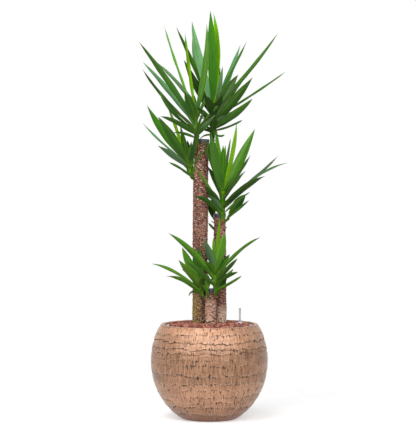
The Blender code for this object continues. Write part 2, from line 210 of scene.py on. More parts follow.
# Shoots: the stem's points and radius, where along it the leaves start, the fillers at the
# back (count, lowest and highest angle, length, width), and the leaves from the bottom up.
# A leaf's row: the direction that it grows in (0 is +X and 90 is +Y), its angle above the
# horizon, length, width, the angle that it droops by, its roll about its length, its tone.
SHOOTS = {
    "tall_crown": (
        [(-0.010, 0.048, 1.030), (0.008, 0.045, 1.048), (0.0135, 0.045, 1.105), (0.0145, 0.045, 1.215)],
        0.008, 0.36, (6, 20, 60, 0.225, 0.026),
        [
            (-148, 0, 0.080, 0.012, 90, 40, "mid"),
            (-50, -24, 0.075, 0.010, -60, -50, "mid"),
            (-45, 8, 0.165, 0.014, -20, -25, "mid"),
            (-50, 22, 0.260, 0.030, -12, -40, "mid"),
            (152, 49, 0.365, 0.019, 10, 75, "pale"),
            (-52, 35, 0.300, 0.034, -4, -35, "deep"),
            (58, 72, 0.235, 0.026, 0, 25, "pale"),
            (-42, 59, 0.220, 0.038, 15, -50, "split"),
            (-20, 30, 0.345, 0.010, -5, -50, "mid"),
            (-104, 43, 0.145, 0.030, 25, 10, "dark"),
            (125, 46.5, 0.300, 0.030, -6, -55, "dark"),
            (41, 59.5, 0.310, 0.026, -9, 20, "pale"),
            (12, 64, 0.310, 0.020, 0, 20, "mid"),
            (140, 60.5, 0.380, 0.020, 1, -20, "deep"),
            (133, 66, 0.365, 0.034, -14, -30, "pale"),
            (127, 57, 0.305, 0.038, -20, -30, "pale"),
            (20, 83, 0.355, 0.034, -20, 40, "sunlit"),
            (-110, 85, 0.355, 0.038, 0, 0, "bright"),
        ],
    ),
    "tall_left": (
        [(-0.042, 0.036, 1.040), (-0.048, 0.018, 1.055), (-0.049, 0.028, 1.100), (-0.053, 0.035, 1.164)],
        0.0075, 0.35, (4, 25, 65, 0.2, 0.022),
        [
            (-140, 19, 0.125, 0.013, 30, 40, "mid"),
            (-55, 30.5, 0.110, 0.011, 0, -30, "mid"),
            (-140, 26, 0.195, 0.024, 15, 35, "mid"),
            (-145, 31, 0.245, 0.018, -36, 25, "deep"),
            (160, 42, 0.335, 0.015, -16, 70, "dark"),
            (-13, 45.5, 0.485, 0.016, -10, -60, "mid"),
            (120, 40, 0.265, 0.024, -3, -25, "mid"),
            (150, 47.5, 0.350, 0.024, 5, 80, "pale"),
            (-172, 55.5, 0.385, 0.028, 2, 50, "deep"),
            (-113, 49, 0.155, 0.036, 10, 15, "deep"),
            (171, 69.5, 0.385, 0.014, -5, 50, "light"),
            (115, 69, 0.350, 0.018, -14, 20, "lime"),
            (-60, 66, 0.365, 0.027, -31, -55, "mid"),
        ],
    ),
    "tall_side": (
        [(-0.055, 0.055, 0.917), (-0.076, 0.045, 0.945), (-0.082, 0.042, 0.985)],
        0.007, 0.10, (3, 25, 60, 0.14, 0.022),
        [
            (-135, 32, 0.075, 0.012, 20, 35, "mid"),
            (-140, 29, 0.135, 0.012, 10, 35, "mid"),
            (-35, 64, 0.085, 0.018, 20, -30, "deep"),
            (-70, 90, 0.130, 0.026, 0, 0, "mid"),
            (124, 69.5, 0.200, 0.024, 0, -20, "deep"),
            (135, 67, 0.285, 0.014, 8, -25, "lime"),
            (-35, 52, 0.120, 0.010, 25, -10, "light"),
            (-65, 61, 0.205, 0.022, -5, -50, "dark"),
            (-135, 27.5, 0.185, 0.028, 2, 35, "grey"),
            (160, 37.5, 0.255, 0.011, -11, 65, "pale"),
            (-140, 51.5, 0.235, 0.035, 3, 35, "deep"),
            (173, 48.5, 0.275, 0.034, -17, 75, "bright"),
        ],
    ),
    "medium_crown": (
        [(0.050, 0.064, 0.748), (0.052, 0.048, 0.764), (0.051, 0.050, 0.825), (0.051, 0.050, 0.890)],
        0.008, 0.25, (6, 20, 65, 0.18, 0.024),
        [
            (-140, 41, 0.165, 0.022, 37, 45, "deep"),
            (-45, 34, 0.170, 0.011, 10, -25, "mid"),
            (-134, 49, 0.110, 0.024, 30, 20, "grey"),
            (-142, 51, 0.135, 0.030, 10, 40, "dark"),
            (-148, 54, 0.215, 0.012, 5, 30, "light"),
            (-45, 35, 0.260, 0.030, 20, -30, "dark"),
            (15, 41, 0.320, 0.018, 28, -40, "pale"),
            (30, 33, 0.315, 0.016, -10, -70, "grey"),
            (-87, 79, 0.225, 0.034, -5, 0, "bright"),
            (-50, 47, 0.245, 0.017, 0, -5, "mid"),
            (-140, 68, 0.250, 0.012, 5, 30, "deep"),
            (13, 64, 0.295, 0.038, 0, 75, "split_light"),
            (-136, 69, 0.235, 0.028, 0, 30, "deep"),
            (-55, 65.5, 0.290, 0.018, -17, -50, "lime"),
            (-110, 58, 0.265, 0.036, -5, 35, "mid"),
            (150, 81, 0.250, 0.030, -6, -20, "light"),
            (60, 72, 0.205, 0.012, 0, 5, "grey"),
            (60, 82, 0.165, 0.014, 0, 20, "light"),
        ],
    ),
    "medium_back": (
        [(0.032, 0.095, 0.748), (0.021, 0.106, 0.764), (0.019, 0.108, 0.790)],
        0.005, 0.40, None,
        [
            (150, 62, 0.070, 0.022, 0, -45, "deep"),
            (125, 52, 0.095, 0.026, 0, -30, "deep"),
            (95, 62, 0.080, 0.022, 0, 0, "deep"),
        ],
    ),
    "medium_side": (
        [(0.058, 0.072, 0.752), (0.070, 0.068, 0.764), (0.078, 0.066, 0.784)],
        0.005, 0.50, None,
        [
            (-45, 33, 0.140, 0.011, 0, -30, "mid"),
            (20, 57, 0.085, 0.010, 0, 60, "mid"),
            (-50, 43, 0.125, 0.034, 10, -60, "deep"),
        ],
    ),
    "short_crown": (
        [(0.018, 0.000, 0.462), (0.023, -0.014, 0.478), (0.022, -0.010, 0.533), (0.022, -0.002, 0.590)],
        0.006, 0.20, (5, 20, 60, 0.13, 0.024),
        [
            (-40, 54, 0.090, 0.026, 20, -60, "dark"),
            (-40, 23, 0.145, 0.015, -10, -35, "light"),
            (45, 36, 0.125, 0.014, 0, 45, "mid"),
            (-135, 37, 0.185, 0.020, 10, 35, "mid"),
            (-50, 26.5, 0.145, 0.018, 12, -35, "mid"),
            (-45, 39, 0.155, 0.019, 0, -35, "mid"),
            (-150, 49.5, 0.280, 0.027, 22, 45, "light"),
            (-30, 47, 0.260, 0.018, 23, -30, "light"),
            (-115, 42, 0.120, 0.034, 30, 0, "light"),
            (50, 39, 0.115, 0.020, 0, 60, "mid"),
            (-137, 66.5, 0.140, 0.031, 0, 30, "grey"),
            (-37, 71, 0.150, 0.040, 0, -45, "light"),
            (100, 70, 0.120, 0.014, 0, 0, "light"),
            (-70, 73, 0.195, 0.013, -5, -40, "lime"),
        ],
    ),
    "short_side": (
        [(-0.012, 0.010, 0.455), (-0.025, 0.004, 0.473), (-0.029, 0.003, 0.488), (-0.035, 0.000, 0.520)],
        0.005, 0.30, (3, 25, 60, 0.12, 0.02),
        [
            (-152, 38, 0.075, 0.012, 120, 45, "mid"),
            (-145, 34.5, 0.190, 0.022, 32, 35, "light"),
            (155, 35.5, 0.245, 0.017, 29, 65, "light"),
            (-90, 54, 0.065, 0.017, 10, 10, "deep"),
            (-130, 41.5, 0.180, 0.030, 0, 25, "light"),
            (109, 80, 0.160, 0.026, 0, -10, "deep"),
            (125, 66, 0.125, 0.024, 0, -50, "deep"),
            (-140, 56, 0.170, 0.034, -5, 80, "light"),
        ],
    ),
    "short_front": (
        [(-0.004, 0.000, 0.462), (-0.006, -0.015, 0.476), (-0.006, -0.016, 0.502)],
        0.004, 0.60, None,
        [
            (-150, 58, 0.040, 0.012, 10, 30, "mid"),
            (-100, 85, 0.055, 0.024, 0, 15, "mid"),
        ],
    ),
}
# Leaves at the back: headings, step between them as a share of those, where along the
# crown they start and how far they go on, sizes, droops and rolls
BACK_TURNS = (25, 155)
BACK_STEP = 0.618
BACK_SPAN = (0.15, 0.6)
BACK_SIZES = (0.85, 1.15)
BACK_DROOPS = (0, 20)
BACK_ROLLS = (-15, 15)

# Short leaves low on a stem, between the crowns: where along the stem, then the leaf's row
EXTRAS = {
    "tall_crown": [
        (0.45, -140, 60, 0.080, 0.012, 40, 30, "dark"),
        (0.40, -150, 21, 0.050, 0.014, 10, 40, "dark"),
        (0.50, -60, 35, 0.115, 0.014, 38, -30, "grey"),
        (0.55, -95, 55, 0.080, 0.024, 20, 0, "dark"),
        (0.42, -75, 48, 0.070, 0.022, 20, -10, "dark"),
        (0.36, -115, 42, 0.060, 0.020, 30, 15, "dark"),
        (0.70, -62, 50, 0.120, 0.024, 10, -20, "dark"),
        (0.62, -150, 42, 0.090, 0.016, 10, 40, "deep"),
        (0.28, -85, 68, 0.070, 0.020, 10, 0, "dark"),
        (0.20, -60, 70, 0.055, 0.016, 0, -20, "deep"),
    ],
    "tall_left": [
        (0.50, -60, 25.5, 0.160, 0.014, 0, -40, "grey"),
        (0.62, -70, 39, 0.110, 0.010, 0, -40, "mid"),
    ],
}

# Sheaths, by which the leaves clasp the stem: height, wall, flare as a share of the stem's
# radius, and half of the angle that they go round, at the bottom and at the top
CLASP_HEIGHT = 0.026
CLASP_WALL = 0.0009
CLASP_FLARE = 0.50
CLASP_ANGLES = (105, 52)
CLASP_SAG = 0.004  # how far its sides hang lower than its middle
CLASP_TUCK = 0.0004  # how far its margins turn in
CLASP_GRAIN = 0.060  # length of leaf whose grain it shows
CLASP_ROWS = 7
CLASP_COLUMNS = 12
CLASP_TONES = {"dark": "deep", "deep": "mid", "mid": "mid", "pale": "pale", "grey": "mid", "split": "mid"}

# Small leaves that grow from the medium cane: base point, then a row as above
SPROUTS = [
    ((0.0290, 0.082, 0.7120), (180, 49, 0.050, 0.0105, 0, 60, "deep")),
    ((0.0290, 0.080, 0.7440), (180, 31, 0.028, 0.0060, 0, 60, "deep")),
    ((0.0590, 0.082, 0.7260), (0, 45, 0.013, 0.0050, 0, -60, "deep")),
    ((0.0590, 0.080, 0.7540), (0, 40, 0.011, 0.0050, 0, -60, "deep")),
]
SPROUT_RADIUS = 0.003  # stands for a stem's radius at their feet

# Colours, as 0 to 255
# Leaf tones. Besides the leaves' own greens, sunlit is painted light, pale is partly painted sheen and dark
# is partly painted shade
TONES = {
    "bright": (46, 112, 0),
    "lime": (114, 160, 6),
    "sunlit": (120, 184, 14),
    "light": (92, 148, 38),
    "mid": (60, 108, 32),
    "deep": (42, 88, 22),
    "dark": (22, 56, 10),
    "pale": (98, 146, 96),
    "grey": (88, 122, 84),
    "split": (96, 128, 84),
    "split_light": (118, 164, 70),
}
# Painted shade on one half of a leaf with a split tone, standing for the shaded half of its fold
SPLIT_PAINTED_SHADES = {"split": (24, 60, 10), "split_light": (52, 104, 26)}
LEAF_BASE_COLOUR = (104, 146, 30)
LEAF_BASE_SHARE = 0.55
DARK_BASES = {"tall_crown": 0.10}  # shoots whose leaves have darker feet
LEAF_MARGIN_COLOUR = (150, 140, 60)

STEM_ROWS = 60
STEM_COLUMNS = 28
STEM_RING = 0.0045  # from one ring to the next
STEM_WAVE = 0.0003

# Studio
WHITE = (1, 1, 1, 1)
FLOOR_WHITE = 0.85
FLOOR_LIFT = 0.50
FLOOR_FADE = (0.55, 1.10)
FLOOR_HALF = 3.0
FLOOR_DROP = 0.0005
SKY_STRENGTH = 0.22
CAMERA_PLACE = (-0.0052, -7.296, 1.024)
CAMERA_AIM = (-0.0052, 0.0, 0.7932)
CAMERA_LENS = 160.94
# Soft boxes: place, aim, width, height, power
SOFT_BOXES = {
    "key": ((-1.4, -1.8, 3.9), (0.0, 0.0, 0.7), 1.1, 1.1, 36),
    "top": ((-0.35, -0.85, 2.90), (0.0, -0.10, 0.33), 1.5, 0.6, 18),
    "left": ((-1.34, -1.12, 1.54), (0.0, 0.0, 0.33), 1.35, 0.85, 12),
    "middle": ((-0.21, -1.74, 1.54), (0.0, 0.0, 0.33), 1.35, 0.85, 14),
    "right": ((1.03, -1.42, 1.54), (0.0, 0.0, 0.33), 1.35, 0.85, 15),
}

LOOKS = {}  # materials by the name of their slot
ATTRIBUTE_KINDS = {1: ("FLOAT", "value"), 3: ("FLOAT_VECTOR", "vector"), 4: ("FLOAT_COLOR", "color")}


# Numbers


def linear(colour):
    """A colour from 0 to 255 as the light values that a shader takes."""
    shares = [c / 255 for c in colour]
    return (*[s / 12.92 if s < 0.04 else ((s + 0.055) / 1.055) ** 2.4 for s in shares], 1.0)


def smooth_step(low, high, values):
    share = np.clip((values - low) / (high - low), 0, 1)
    return share * share * (3 - 2 * share)


def bell(values, middle, width):
    return np.exp(-(((values - middle) / width) ** 2))


def lattice_noise(seed, turn, height, columns, rows):
    """Smooth noise from -1 to 1. Turn wraps round from 0 to 1; height goes from 0 to 1."""
    values = np.random.default_rng(seed).uniform(-1, 1, (rows + 2, columns))
    x, y = turn * columns, np.clip(height, 0, 1) * rows
    i, j = np.floor(x).astype(int), np.floor(y).astype(int)
    fx, fy = smooth_step(0, 1, x - i), smooth_step(0, 1, y - j)
    near, far = i % columns, (i + 1) % columns
    low = values[j, near] * (1 - fx) + values[j, far] * fx
    high = values[j + 1, near] * (1 - fx) + values[j + 1, far] * fx
    return low * (1 - fy) + high * fy


def ring_noise(seed, turn, columns):
    """Smooth noise from -1 to 1 round a ring."""
    return lattice_noise(seed, turn, np.zeros_like(turn), columns, 1)


# Lines and meshes


def around(radius, height, angle, place=(0, 0)):
    """Points about an upright axis at this place."""
    return np.stack(
        [place[0] + radius * np.cos(angle), place[1] + radius * np.sin(angle), height + 0 * angle], axis=-1
    )


def arc(middle, out, up, start, end, count):
    """Points (radius, height) on a part of an ellipse, with its angles in degrees."""
    angles = np.radians(np.linspace(start, end, count))
    return [(middle[0] + out * cos(angle), middle[1] + up * sin(angle)) for angle in angles]


def lengths_along(line):
    """The distance along a line at each of its points."""
    return np.concatenate([[0], np.cumsum(np.linalg.norm(np.diff(line, axis=0), axis=1))])


def points_at(line, distances):
    """The points of a line at these distances along it."""
    lengths = lengths_along(line)
    return np.stack([np.interp(distances, lengths, line[:, i]) for i in range(3)], axis=-1)


def point_along(points, share):
    line = np.array(points, float)
    return points_at(line, share * lengths_along(line)[-1])


def resampled(points, count):
    """The line through these points as evenly spaced points, with its corners rounded."""
    line = np.array(points, float)
    line = points_at(line, np.linspace(0, lengths_along(line)[-1], count))
    for _ in range(count // 6):
        line[1:-1] = (line[:-2] + line[1:-1] * 2 + line[2:]) / 4
    return line


def line_frames(line):
    """Two directions across a line at each of its points, with no twist between them."""
    tangents = np.gradient(line, axis=0)
    tangents /= np.linalg.norm(tangents, axis=1)[:, None]
    across = np.cross([0.0, 1.0, 0.0], tangents[0])
    first = []
    for tangent in tangents:
        across = across - tangent * (across @ tangent)
        across = across / np.linalg.norm(across)
        first.append(across)
    first = np.array(first)
    return first, np.cross(tangents, first)


def swept(line, radii):
    """Rings about a line. Radii are an array of (points of the line, columns)."""
    angle = circle(radii.shape[1])
    first, second = line_frames(line)
    outwards = first[:, None] * np.cos(angle)[None, :, None] + second[:, None] * np.sin(angle)[None, :, None]
    return line[:, None] + outwards * radii[..., None]


def circle(steps):
    return np.arange(steps) * 2 * pi / steps


def grid_faces(rows, columns):
    """Quads between neighbouring rows, with the last column joined to the first."""
    row = np.arange(rows - 1)[:, None] * columns
    near = np.arange(columns)[None, :]
    far = (near + 1) % columns
    quads = [row + near, row + far, row + columns + far, row + columns + near]
    return np.stack(quads, axis=-1).reshape(-1, 4).tolist()


def fan_faces(start, columns, hub, upwards):
    ring = [start + i for i in range(columns)]
    pairs = zip(ring, ring[1:] + ring[:1])
    return [(a, b, hub) if upwards else (b, a, hub) for a, b in pairs]


def capped_faces(rows, columns):
    """Faces of a grid that has a middle point at each end, as with_ends adds them."""
    faces = grid_faces(rows, columns)
    faces += fan_faces(0, columns, rows * columns, False)
    faces += fan_faces((rows - 1) * columns, columns, rows * columns + 1, True)
    return faces


def with_ends(values):
    """Values on a grid as one row per point, then the means of its first and last rows."""
    flat = values.reshape(values.shape[0] * values.shape[1], -1)
    ends = [row.mean(axis=1).reshape(1, -1) for row in (values[:1], values[-1:])]
    joined = np.concatenate([flat, *ends])
    return joined[:, 0] if values.ndim == 2 else joined


def make_piece(name, points, faces, slot, replaced=(), marks=None, sharp=60):
    """A piece with marks, which are values at its points that its look reads."""
    mesh = bpy.data.meshes.new(name)
    mesh.from_pydata(np.asarray(points, float).tolist(), [], faces)
    for key, values in (marks or {}).items():
        values = np.asarray(values, np.float32)
        kind, field = ATTRIBUTE_KINDS[values[0].size]
        mesh.attributes.new(key, kind, "POINT").data.foreach_set(field, values.ravel())
    mesh.shade_smooth()
    mesh.set_sharp_from_angle(angle=radians(sharp))
    mesh.materials.append(LOOKS[slot])
    piece = bpy.data.objects.new(name, mesh)
    bpy.context.scene.collection.objects.link(piece)
    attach(piece, "root")
    nodes = [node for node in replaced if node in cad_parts]
    if nodes:
        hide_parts(*nodes)


def make_body(name, rings, slot, replaced, marks=None, sharp=70):
    """A closed piece from rings of points (rows, columns, 3), with marks on the same grid."""
    marks = {key: with_ends(values) for key, values in (marks or {}).items()}
    make_piece(name, with_ends(rings), capped_faces(*rings.shape[:2]), slot, replaced, marks, sharp)


def lathe(name, outline, slot, node, place=(0, 0), steps=LATHE_STEPS):
    """A body turned about an upright axis. The outline's points are (radius, height)."""
    outline = np.array(outline, float)
    make_body(name, around(outline[:, :1], outline[:, 1:], circle(steps), place), slot, [node], sharp=40)


# Looks


class Nodes:
    """Short ways to add nodes to a tree. A colour is a socket or is given as 0 to 255."""

    def __init__(self, tree):
        self.tree = tree

    def feed(self, socket, value):
        if isinstance(value, bpy.types.NodeSocket):
            self.tree.links.new(value, socket)
        else:
            socket.default_value = value

    def add(self, kind, inputs=None, **settings):
        made = self.tree.nodes.new("ShaderNode" + kind)
        for key, value in settings.items():
            setattr(made, key, value)
        for key, value in (inputs or {}).items():
            self.feed(made.inputs[key], value)
        return made

    def attribute(self, name, output="Fac"):
        return self.add("Attribute", attribute_name=name).outputs[output]

    def vector(self, name):
        return self.attribute(name, "Vector")

    def place(self):
        return self.add("TexCoord").outputs["Object"]

    def parts(self, vector):
        return self.add("SeparateXYZ", {0: vector}).outputs

    def math(self, operation, first, second=0.0):
        return self.add("Math", {0: first, 1: second}, operation=operation).outputs[0]

    def times(self, first, second):
        return self.math("MULTIPLY", first, second)

    def larger(self, first, second):
        return self.math("MAXIMUM", first, second)

    def off(self, value, centre=0.0):
        """How far a value is from a centre."""
        return self.math("ABSOLUTE", self.math("SUBTRACT", value, centre))

    def ranged(self, value, low, high, to_low=0.0, to_high=1.0):
        return self.add("MapRange", {0: value, 1: low, 2: high, 3: to_low, 4: to_high}).outputs[0]

    def noise(self, place, stretch, detail=3.0, roughness=0.55, offset=(0, 0, 0)):
        """Noise over a place, with its fineness along each axis."""
        moved = self.add("VectorMath", {0: place, 1: stretch, 2: offset}, operation="MULTIPLY_ADD").outputs[0]
        inputs = {"Vector": moved, "Scale": 1.0, "Detail": detail, "Roughness": roughness}
        return self.add("TexNoise", inputs).outputs[0]

    def blend(self, share, first, second):
        first, second = (linear(c) if isinstance(c, tuple) else c for c in (first, second))
        return self.add("Mix", {0: share, 6: first, 7: second}, data_type="RGBA").outputs[2]

    def paint(self, under, colour, value, low, high, strength=1.0):
        """A colour over another one, from none where the value is low to its full strength."""
        return self.blend(self.ranged(value, low, high, 0.0, strength), under, colour)

    def shade(self, colour, factor):
        """A colour made lighter or darker, with its hue kept."""
        return self.add("VectorMath", {0: colour, "Scale": factor}, operation="SCALE").outputs[0]

    def bump(self, height, strength, distance, **normal):
        inputs = {"Height": height, "Strength": strength, "Distance": distance, **normal}
        return self.add("Bump", inputs).outputs[0]

    def seen_directly(self):
        """1 for rays from the camera, off a glossy surface or through a clear one, else 0."""
        path = self.add("LightPath").outputs
        seen = self.larger(path["Is Camera Ray"], path["Is Glossy Ray"])
        return self.larger(seen, path["Is Transmission Ray"])


class Look(Nodes):
    """A Principled material for a slot. Values are the shader's inputs, with _ for a space."""

    def __init__(self, slot, **values):
        material = LOOKS[slot] = bpy.data.materials.new(slot)
        material.use_nodes = True
        super().__init__(material.node_tree)
        self.set(**values)

    def set(self, **values):
        inputs = self.tree.nodes["Principled BSDF"].inputs
        for key, value in values.items():
            self.feed(inputs[key.replace("_", " ")], value)


def make_leaf_look():
    look = Look("yucca_leaf", Specular_IOR_Level=0.12, Specular_Tint=(0.62, 0.80, 0.40, 1))
    place = look.vector("leaf_place")
    across, along, underside = look.parts(look.vector("leaf_share"))
    tone = look.attribute("leaf_tone", "Color")
    veins = look.noise(place, (1000, 7, 1), 2.0)
    bands = look.noise(place, (170, 4, 1), 2.0)
    mottle = look.noise(place, (45, 18, 1))
    from_middle = look.off(across)
    from_foot = look.parts(place)[1]
    yellower = look.blend(0.35, tone, (150, 190, 30))
    colour = look.paint(tone, yellower, bands, 0.45, 0.80, 0.40)
    # The last of these is painted shade: each leaf darker towards its foot, in the crown's core
    for value, *shades in (
        (bands, 0.25, 0.75, 0.80, 1.16), (veins, 0.30, 0.70, 0.86, 1.14), (mottle, 0.30, 0.70, 0.88, 1.10),
        (from_middle, 0.0, 0.10, 0.86, 1.0), (along, 0.0, 0.30, 0.70, 1.0),
    ):
        colour = look.shade(colour, look.ranged(value, *shades))
    colour = look.paint(colour, (92, 126, 70), underside, 0.0, 1.0, 0.15)
    colour = look.paint(colour, LEAF_MARGIN_COLOUR, from_middle, 0.90, 1.0, 0.40)
    at_base = look.times(look.attribute("leaf_base"), look.ranged(from_foot, 0.004, 0.045, 1.0, 0.0))
    colour = look.blend(at_base, colour, LEAF_BASE_COLOUR)
    colour = look.paint(colour, (95, 70, 35), along, 0.975, 1.0, 0.7)
    look.set(Base_Color=colour, Roughness=look.ranged(mottle, 0.3, 0.7, 0.42, 0.56))
    look.set(Normal=look.bump(veins, 0.30, 0.0004))


def make_stem_look():
    look = Look("green_stem", Roughness=0.6, Specular_IOR_Level=0.2)
    grain = look.noise(look.place(), (300, 300, 80))
    green = look.blend(grain, (70, 100, 28), (122, 150, 48))
    colour = look.blend(look.ranged(look.attribute("rise"), 0.08, 0.30), (150, 104, 68), green)
    colour = look.paint(colour, (78, 62, 34), look.attribute("ring"), 0.35, 1.0, 0.7)
    look.set(Base_Color=colour, Normal=look.bump(grain, 0.4, 0.0008))


def make_bark_look():
    look = Look("cane_bark", Roughness=0.85, Specular_IOR_Level=0.2)
    place = look.vector("bark_place")
    ridge, shadow, _ = look.parts(look.vector("bark_marks"))
    moss, scales, fresh = look.parts(look.vector("bark_patches"))
    grain = look.noise(place, (420, 420, 700), 4.0, 0.65)
    flakes = look.noise(place, (70, 70, 190), 4.0, 0.6)
    broad = look.noise(place, (22, 22, 14), 2.0)
    chips = look.noise(place, (130, 130, 150), 2.0, 0.5, (5.0, 2.0, 0.0))
    colour = look.blend(look.ranged(flakes, 0.41, 0.60), (96, 58, 46), (192, 140, 118))
    colour = look.paint(colour, (112, 68, 52), broad, 0.40, 0.62, 0.60)
    colour = look.paint(colour, (62, 38, 30), grain, 0.56, 0.72, 0.55)
    colour = look.blend(look.times(moss, look.ranged(flakes, 0.34, 0.56, 0.20, 0.90)), colour, (166, 146, 76))
    ridge_colour = look.blend(look.times(fresh, 0.75), (236, 212, 196), (216, 184, 162))
    colour = look.blend(look.times(fresh, 0.70), colour, (222, 180, 154))
    # Pale scar rims, partly the scars' own colour and partly painted highlight, then painted shadow below
    # each scar
    colour = look.paint(colour, ridge_colour, ridge, 0.22, 0.62, 0.95)
    colour = look.paint(colour, (46, 28, 22), shadow, 0.12, 0.60, 0.92)
    colour = look.blend(look.times(scales, look.ranged(chips, 0.38, 0.46)), colour, (255, 226, 200))
    rough = look.bump(grain, 0.8, 0.0008)
    look.set(Base_Color=colour, Normal=look.bump(flakes, 0.8, 0.0016, Normal=rough))


def make_wax_look():
    look = Look("seal_wax", Specular_IOR_Level=0.5, Coat_Weight=0.2, Coat_Roughness=0.3)
    place = look.place()
    cloud = look.noise(place, (70, 70, 110))
    speck = look.noise(place, (420, 420, 420))
    colour = look.blend(look.ranged(cloud, 0.35, 0.7), (30, 24, 48), (58, 46, 76))
    colour = look.paint(colour, (128, 98, 92), look.attribute("worn"), 0.3, 1.0, 0.75)
    colour = look.paint(colour, (110, 100, 118), speck, 0.62, 0.75, 0.5)
    look.set(Base_Color=colour, Roughness=look.ranged(cloud, 0.3, 0.7, 0.30, 0.55))
    look.set(Normal=look.bump(cloud, 0.5, 0.002))


def make_glaze_look():
    look = Look("bronze_glaze", Metallic=0.25, Specular_IOR_Level=0.35, Specular_Tint=(0.75, 0.60, 0.50, 1))
    look.set(Coat_Weight=0.35, Coat_Roughness=0.12)
    place = look.vector("turn_place")
    dark, foot, lip = look.parts(look.vector("glaze_marks"))
    near_edge = look.attribute("near_edge")
    streaks = look.noise(place, (420, 420, 22), 3.0, 0.6)
    fine = look.noise(place, (1100, 1100, 60), 2.0)
    broad = look.noise(place, (13, 13, 20))
    dashes = look.noise(place, (190, 190, 60), 2.0, 0.4, (7.1, 3.3, 0.0))
    pits = look.noise(place, (150, 150, 190), 2.0, 0.4, (1.7, 9.1, 4.0))
    # The glaze's lightness by layer, which in the top two layers is partly painted highlight
    lightness = look.times(look.attribute("layer_light"), look.ranged(broad, 0.30, 0.70, 0.6, 1.4))
    colour = look.blend(lightness, (130, 91, 64), (190, 140, 107))
    colour = look.paint(colour, PALE_GLAZE_AND_HIGHLIGHT, streaks, 0.50, 0.72, 0.60)
    colour = look.paint(colour, (104, 70, 52), streaks, 0.48, 0.26, 0.70)
    # Painted highlight along each layer's lower edge (lip)
    colour = look.paint(colour, PALE_GLAZE_AND_HIGHLIGHT, lip, 0.0, 1.0, 0.40)
    for dots, more_at_edge, low, high in ((dashes, 0.065, 0.660, 0.690), (pits, 0.075, 0.680, 0.710)):
        dots = look.math("ADD", dots, look.times(near_edge, more_at_edge))
        dark = look.larger(dark, look.ranged(dots, low, high))
    # Dark cracks, dashes and pits; along the cracks the dark is partly painted shade
    colour = look.paint(colour, (44, 36, 36), dark, 0.10, 0.75, 0.90)
    colour = look.paint(colour, (150, 84, 58), foot, 0.0, 1.0, 0.6)
    height = look.math("SUBTRACT", look.math("ADD", streaks, look.times(fine, 0.4)), dark)
    look.set(Base_Color=colour, Roughness=look.ranged(dark, 0.0, 1.0, 0.38, 0.75))
    look.set(Normal=look.bump(height, 0.7, 0.0014))


def make_granule_look():
    look = Look("lava_granules", Roughness=0.9, Specular_IOR_Level=0.3)
    tone = look.attribute("tone")
    pores = look.noise(look.place(), (900, 900, 900), 3.0, 0.6)
    colour = look.blend(look.ranged(tone, 0.15, 0.55), (80, 46, 42), (152, 88, 72))
    colour = look.paint(colour, (200, 140, 118), tone, 0.65, 0.95, 0.9)
    colour = look.paint(colour, (88, 40, 36), pores, 0.52, 0.70, 0.6)
    look.set(Base_Color=colour, Normal=look.bump(pores, 0.8, 0.0008))


def make_clear_look():
    """Hazy clear plastic, with the scale's marks as strokes on its front and back."""
    look = Look("gauge_clear", Roughness=0.12, IOR=1.3, Specular_IOR_Level=0.4)
    place = look.place()
    x, _, height = look.parts(place)
    in_band = look.ranged(look.off(x, GAUGE_PLACE[0]), MARK_SIZE * 0.6, MARK_SIZE * 0.8, 1.0, 0.0)
    marked = 0.0
    for mark in MARK_HEIGHTS:
        here = look.ranged(look.off(height, mark), MARK_SIZE * 0.8, MARK_SIZE, 1.0, 0.0)
        marked = look.larger(marked, look.times(here, in_band))
    haze = look.ranged(look.noise(place, (220, 220, 60)), 0.3, 0.7, 0.30, 0.42)
    look.set(Base_Color=look.blend(marked, (216, 216, 220), (206, 192, 132)), Alpha=look.larger(marked, haze))


def make_plastic_looks():
    look = Look("liner_plastic", Roughness=0.5)
    dust = look.noise(look.place(), (140, 140, 140), 4.0)
    look.set(Base_Color=look.paint((178, 178, 182), (150, 140, 136), dust, 0.40, 0.70))
    look.set(Normal=look.bump(dust, 0.15, 0.0005))
    look = Look("gauge_grey", Roughness=0.4)
    dust = look.noise(look.place(), (500, 500, 500))
    look.set(Base_Color=look.paint((196, 200, 214), (158, 150, 156), dust, 0.40, 0.75))
    look = Look("rod_red", Roughness=0.4)
    look.set(Base_Color=look.blend(look.noise(look.place(), (300, 300, 300)), (168, 62, 48), (198, 84, 62)))


# Planter, liner and granules


def globe_radius(height):
    height = np.asarray(height, float)
    half = np.where(height < BELLY_HEIGHT, GLOBE_BELOW, GLOBE_ABOVE)
    tucked = np.maximum(0, height - TUCK_HEIGHT) / (PLANTER_HEIGHT - TUCK_HEIGHT)
    return BELLY_RADIUS * np.sqrt(1 - ((height - BELLY_HEIGHT) / half) ** 2) - TUCK * tucked**2


def layer_waves(waves, k, turn):
    return sum(ring_noise(seed + k, turn, count) * size for seed, count, size in waves)


def layer_edges(turn):
    """Heights of the glaze layers' upper edges round the planter, then of its foot."""
    edges = [np.full_like(turn, LAYERS[0][0])]
    for k, (mean, *_) in enumerate(LAYERS[1:], 1):
        edges.append(mean + layer_waves(EDGE_WAVES, k, turn))
    return [*edges, np.full_like(turn, FOOT_EDGE)]


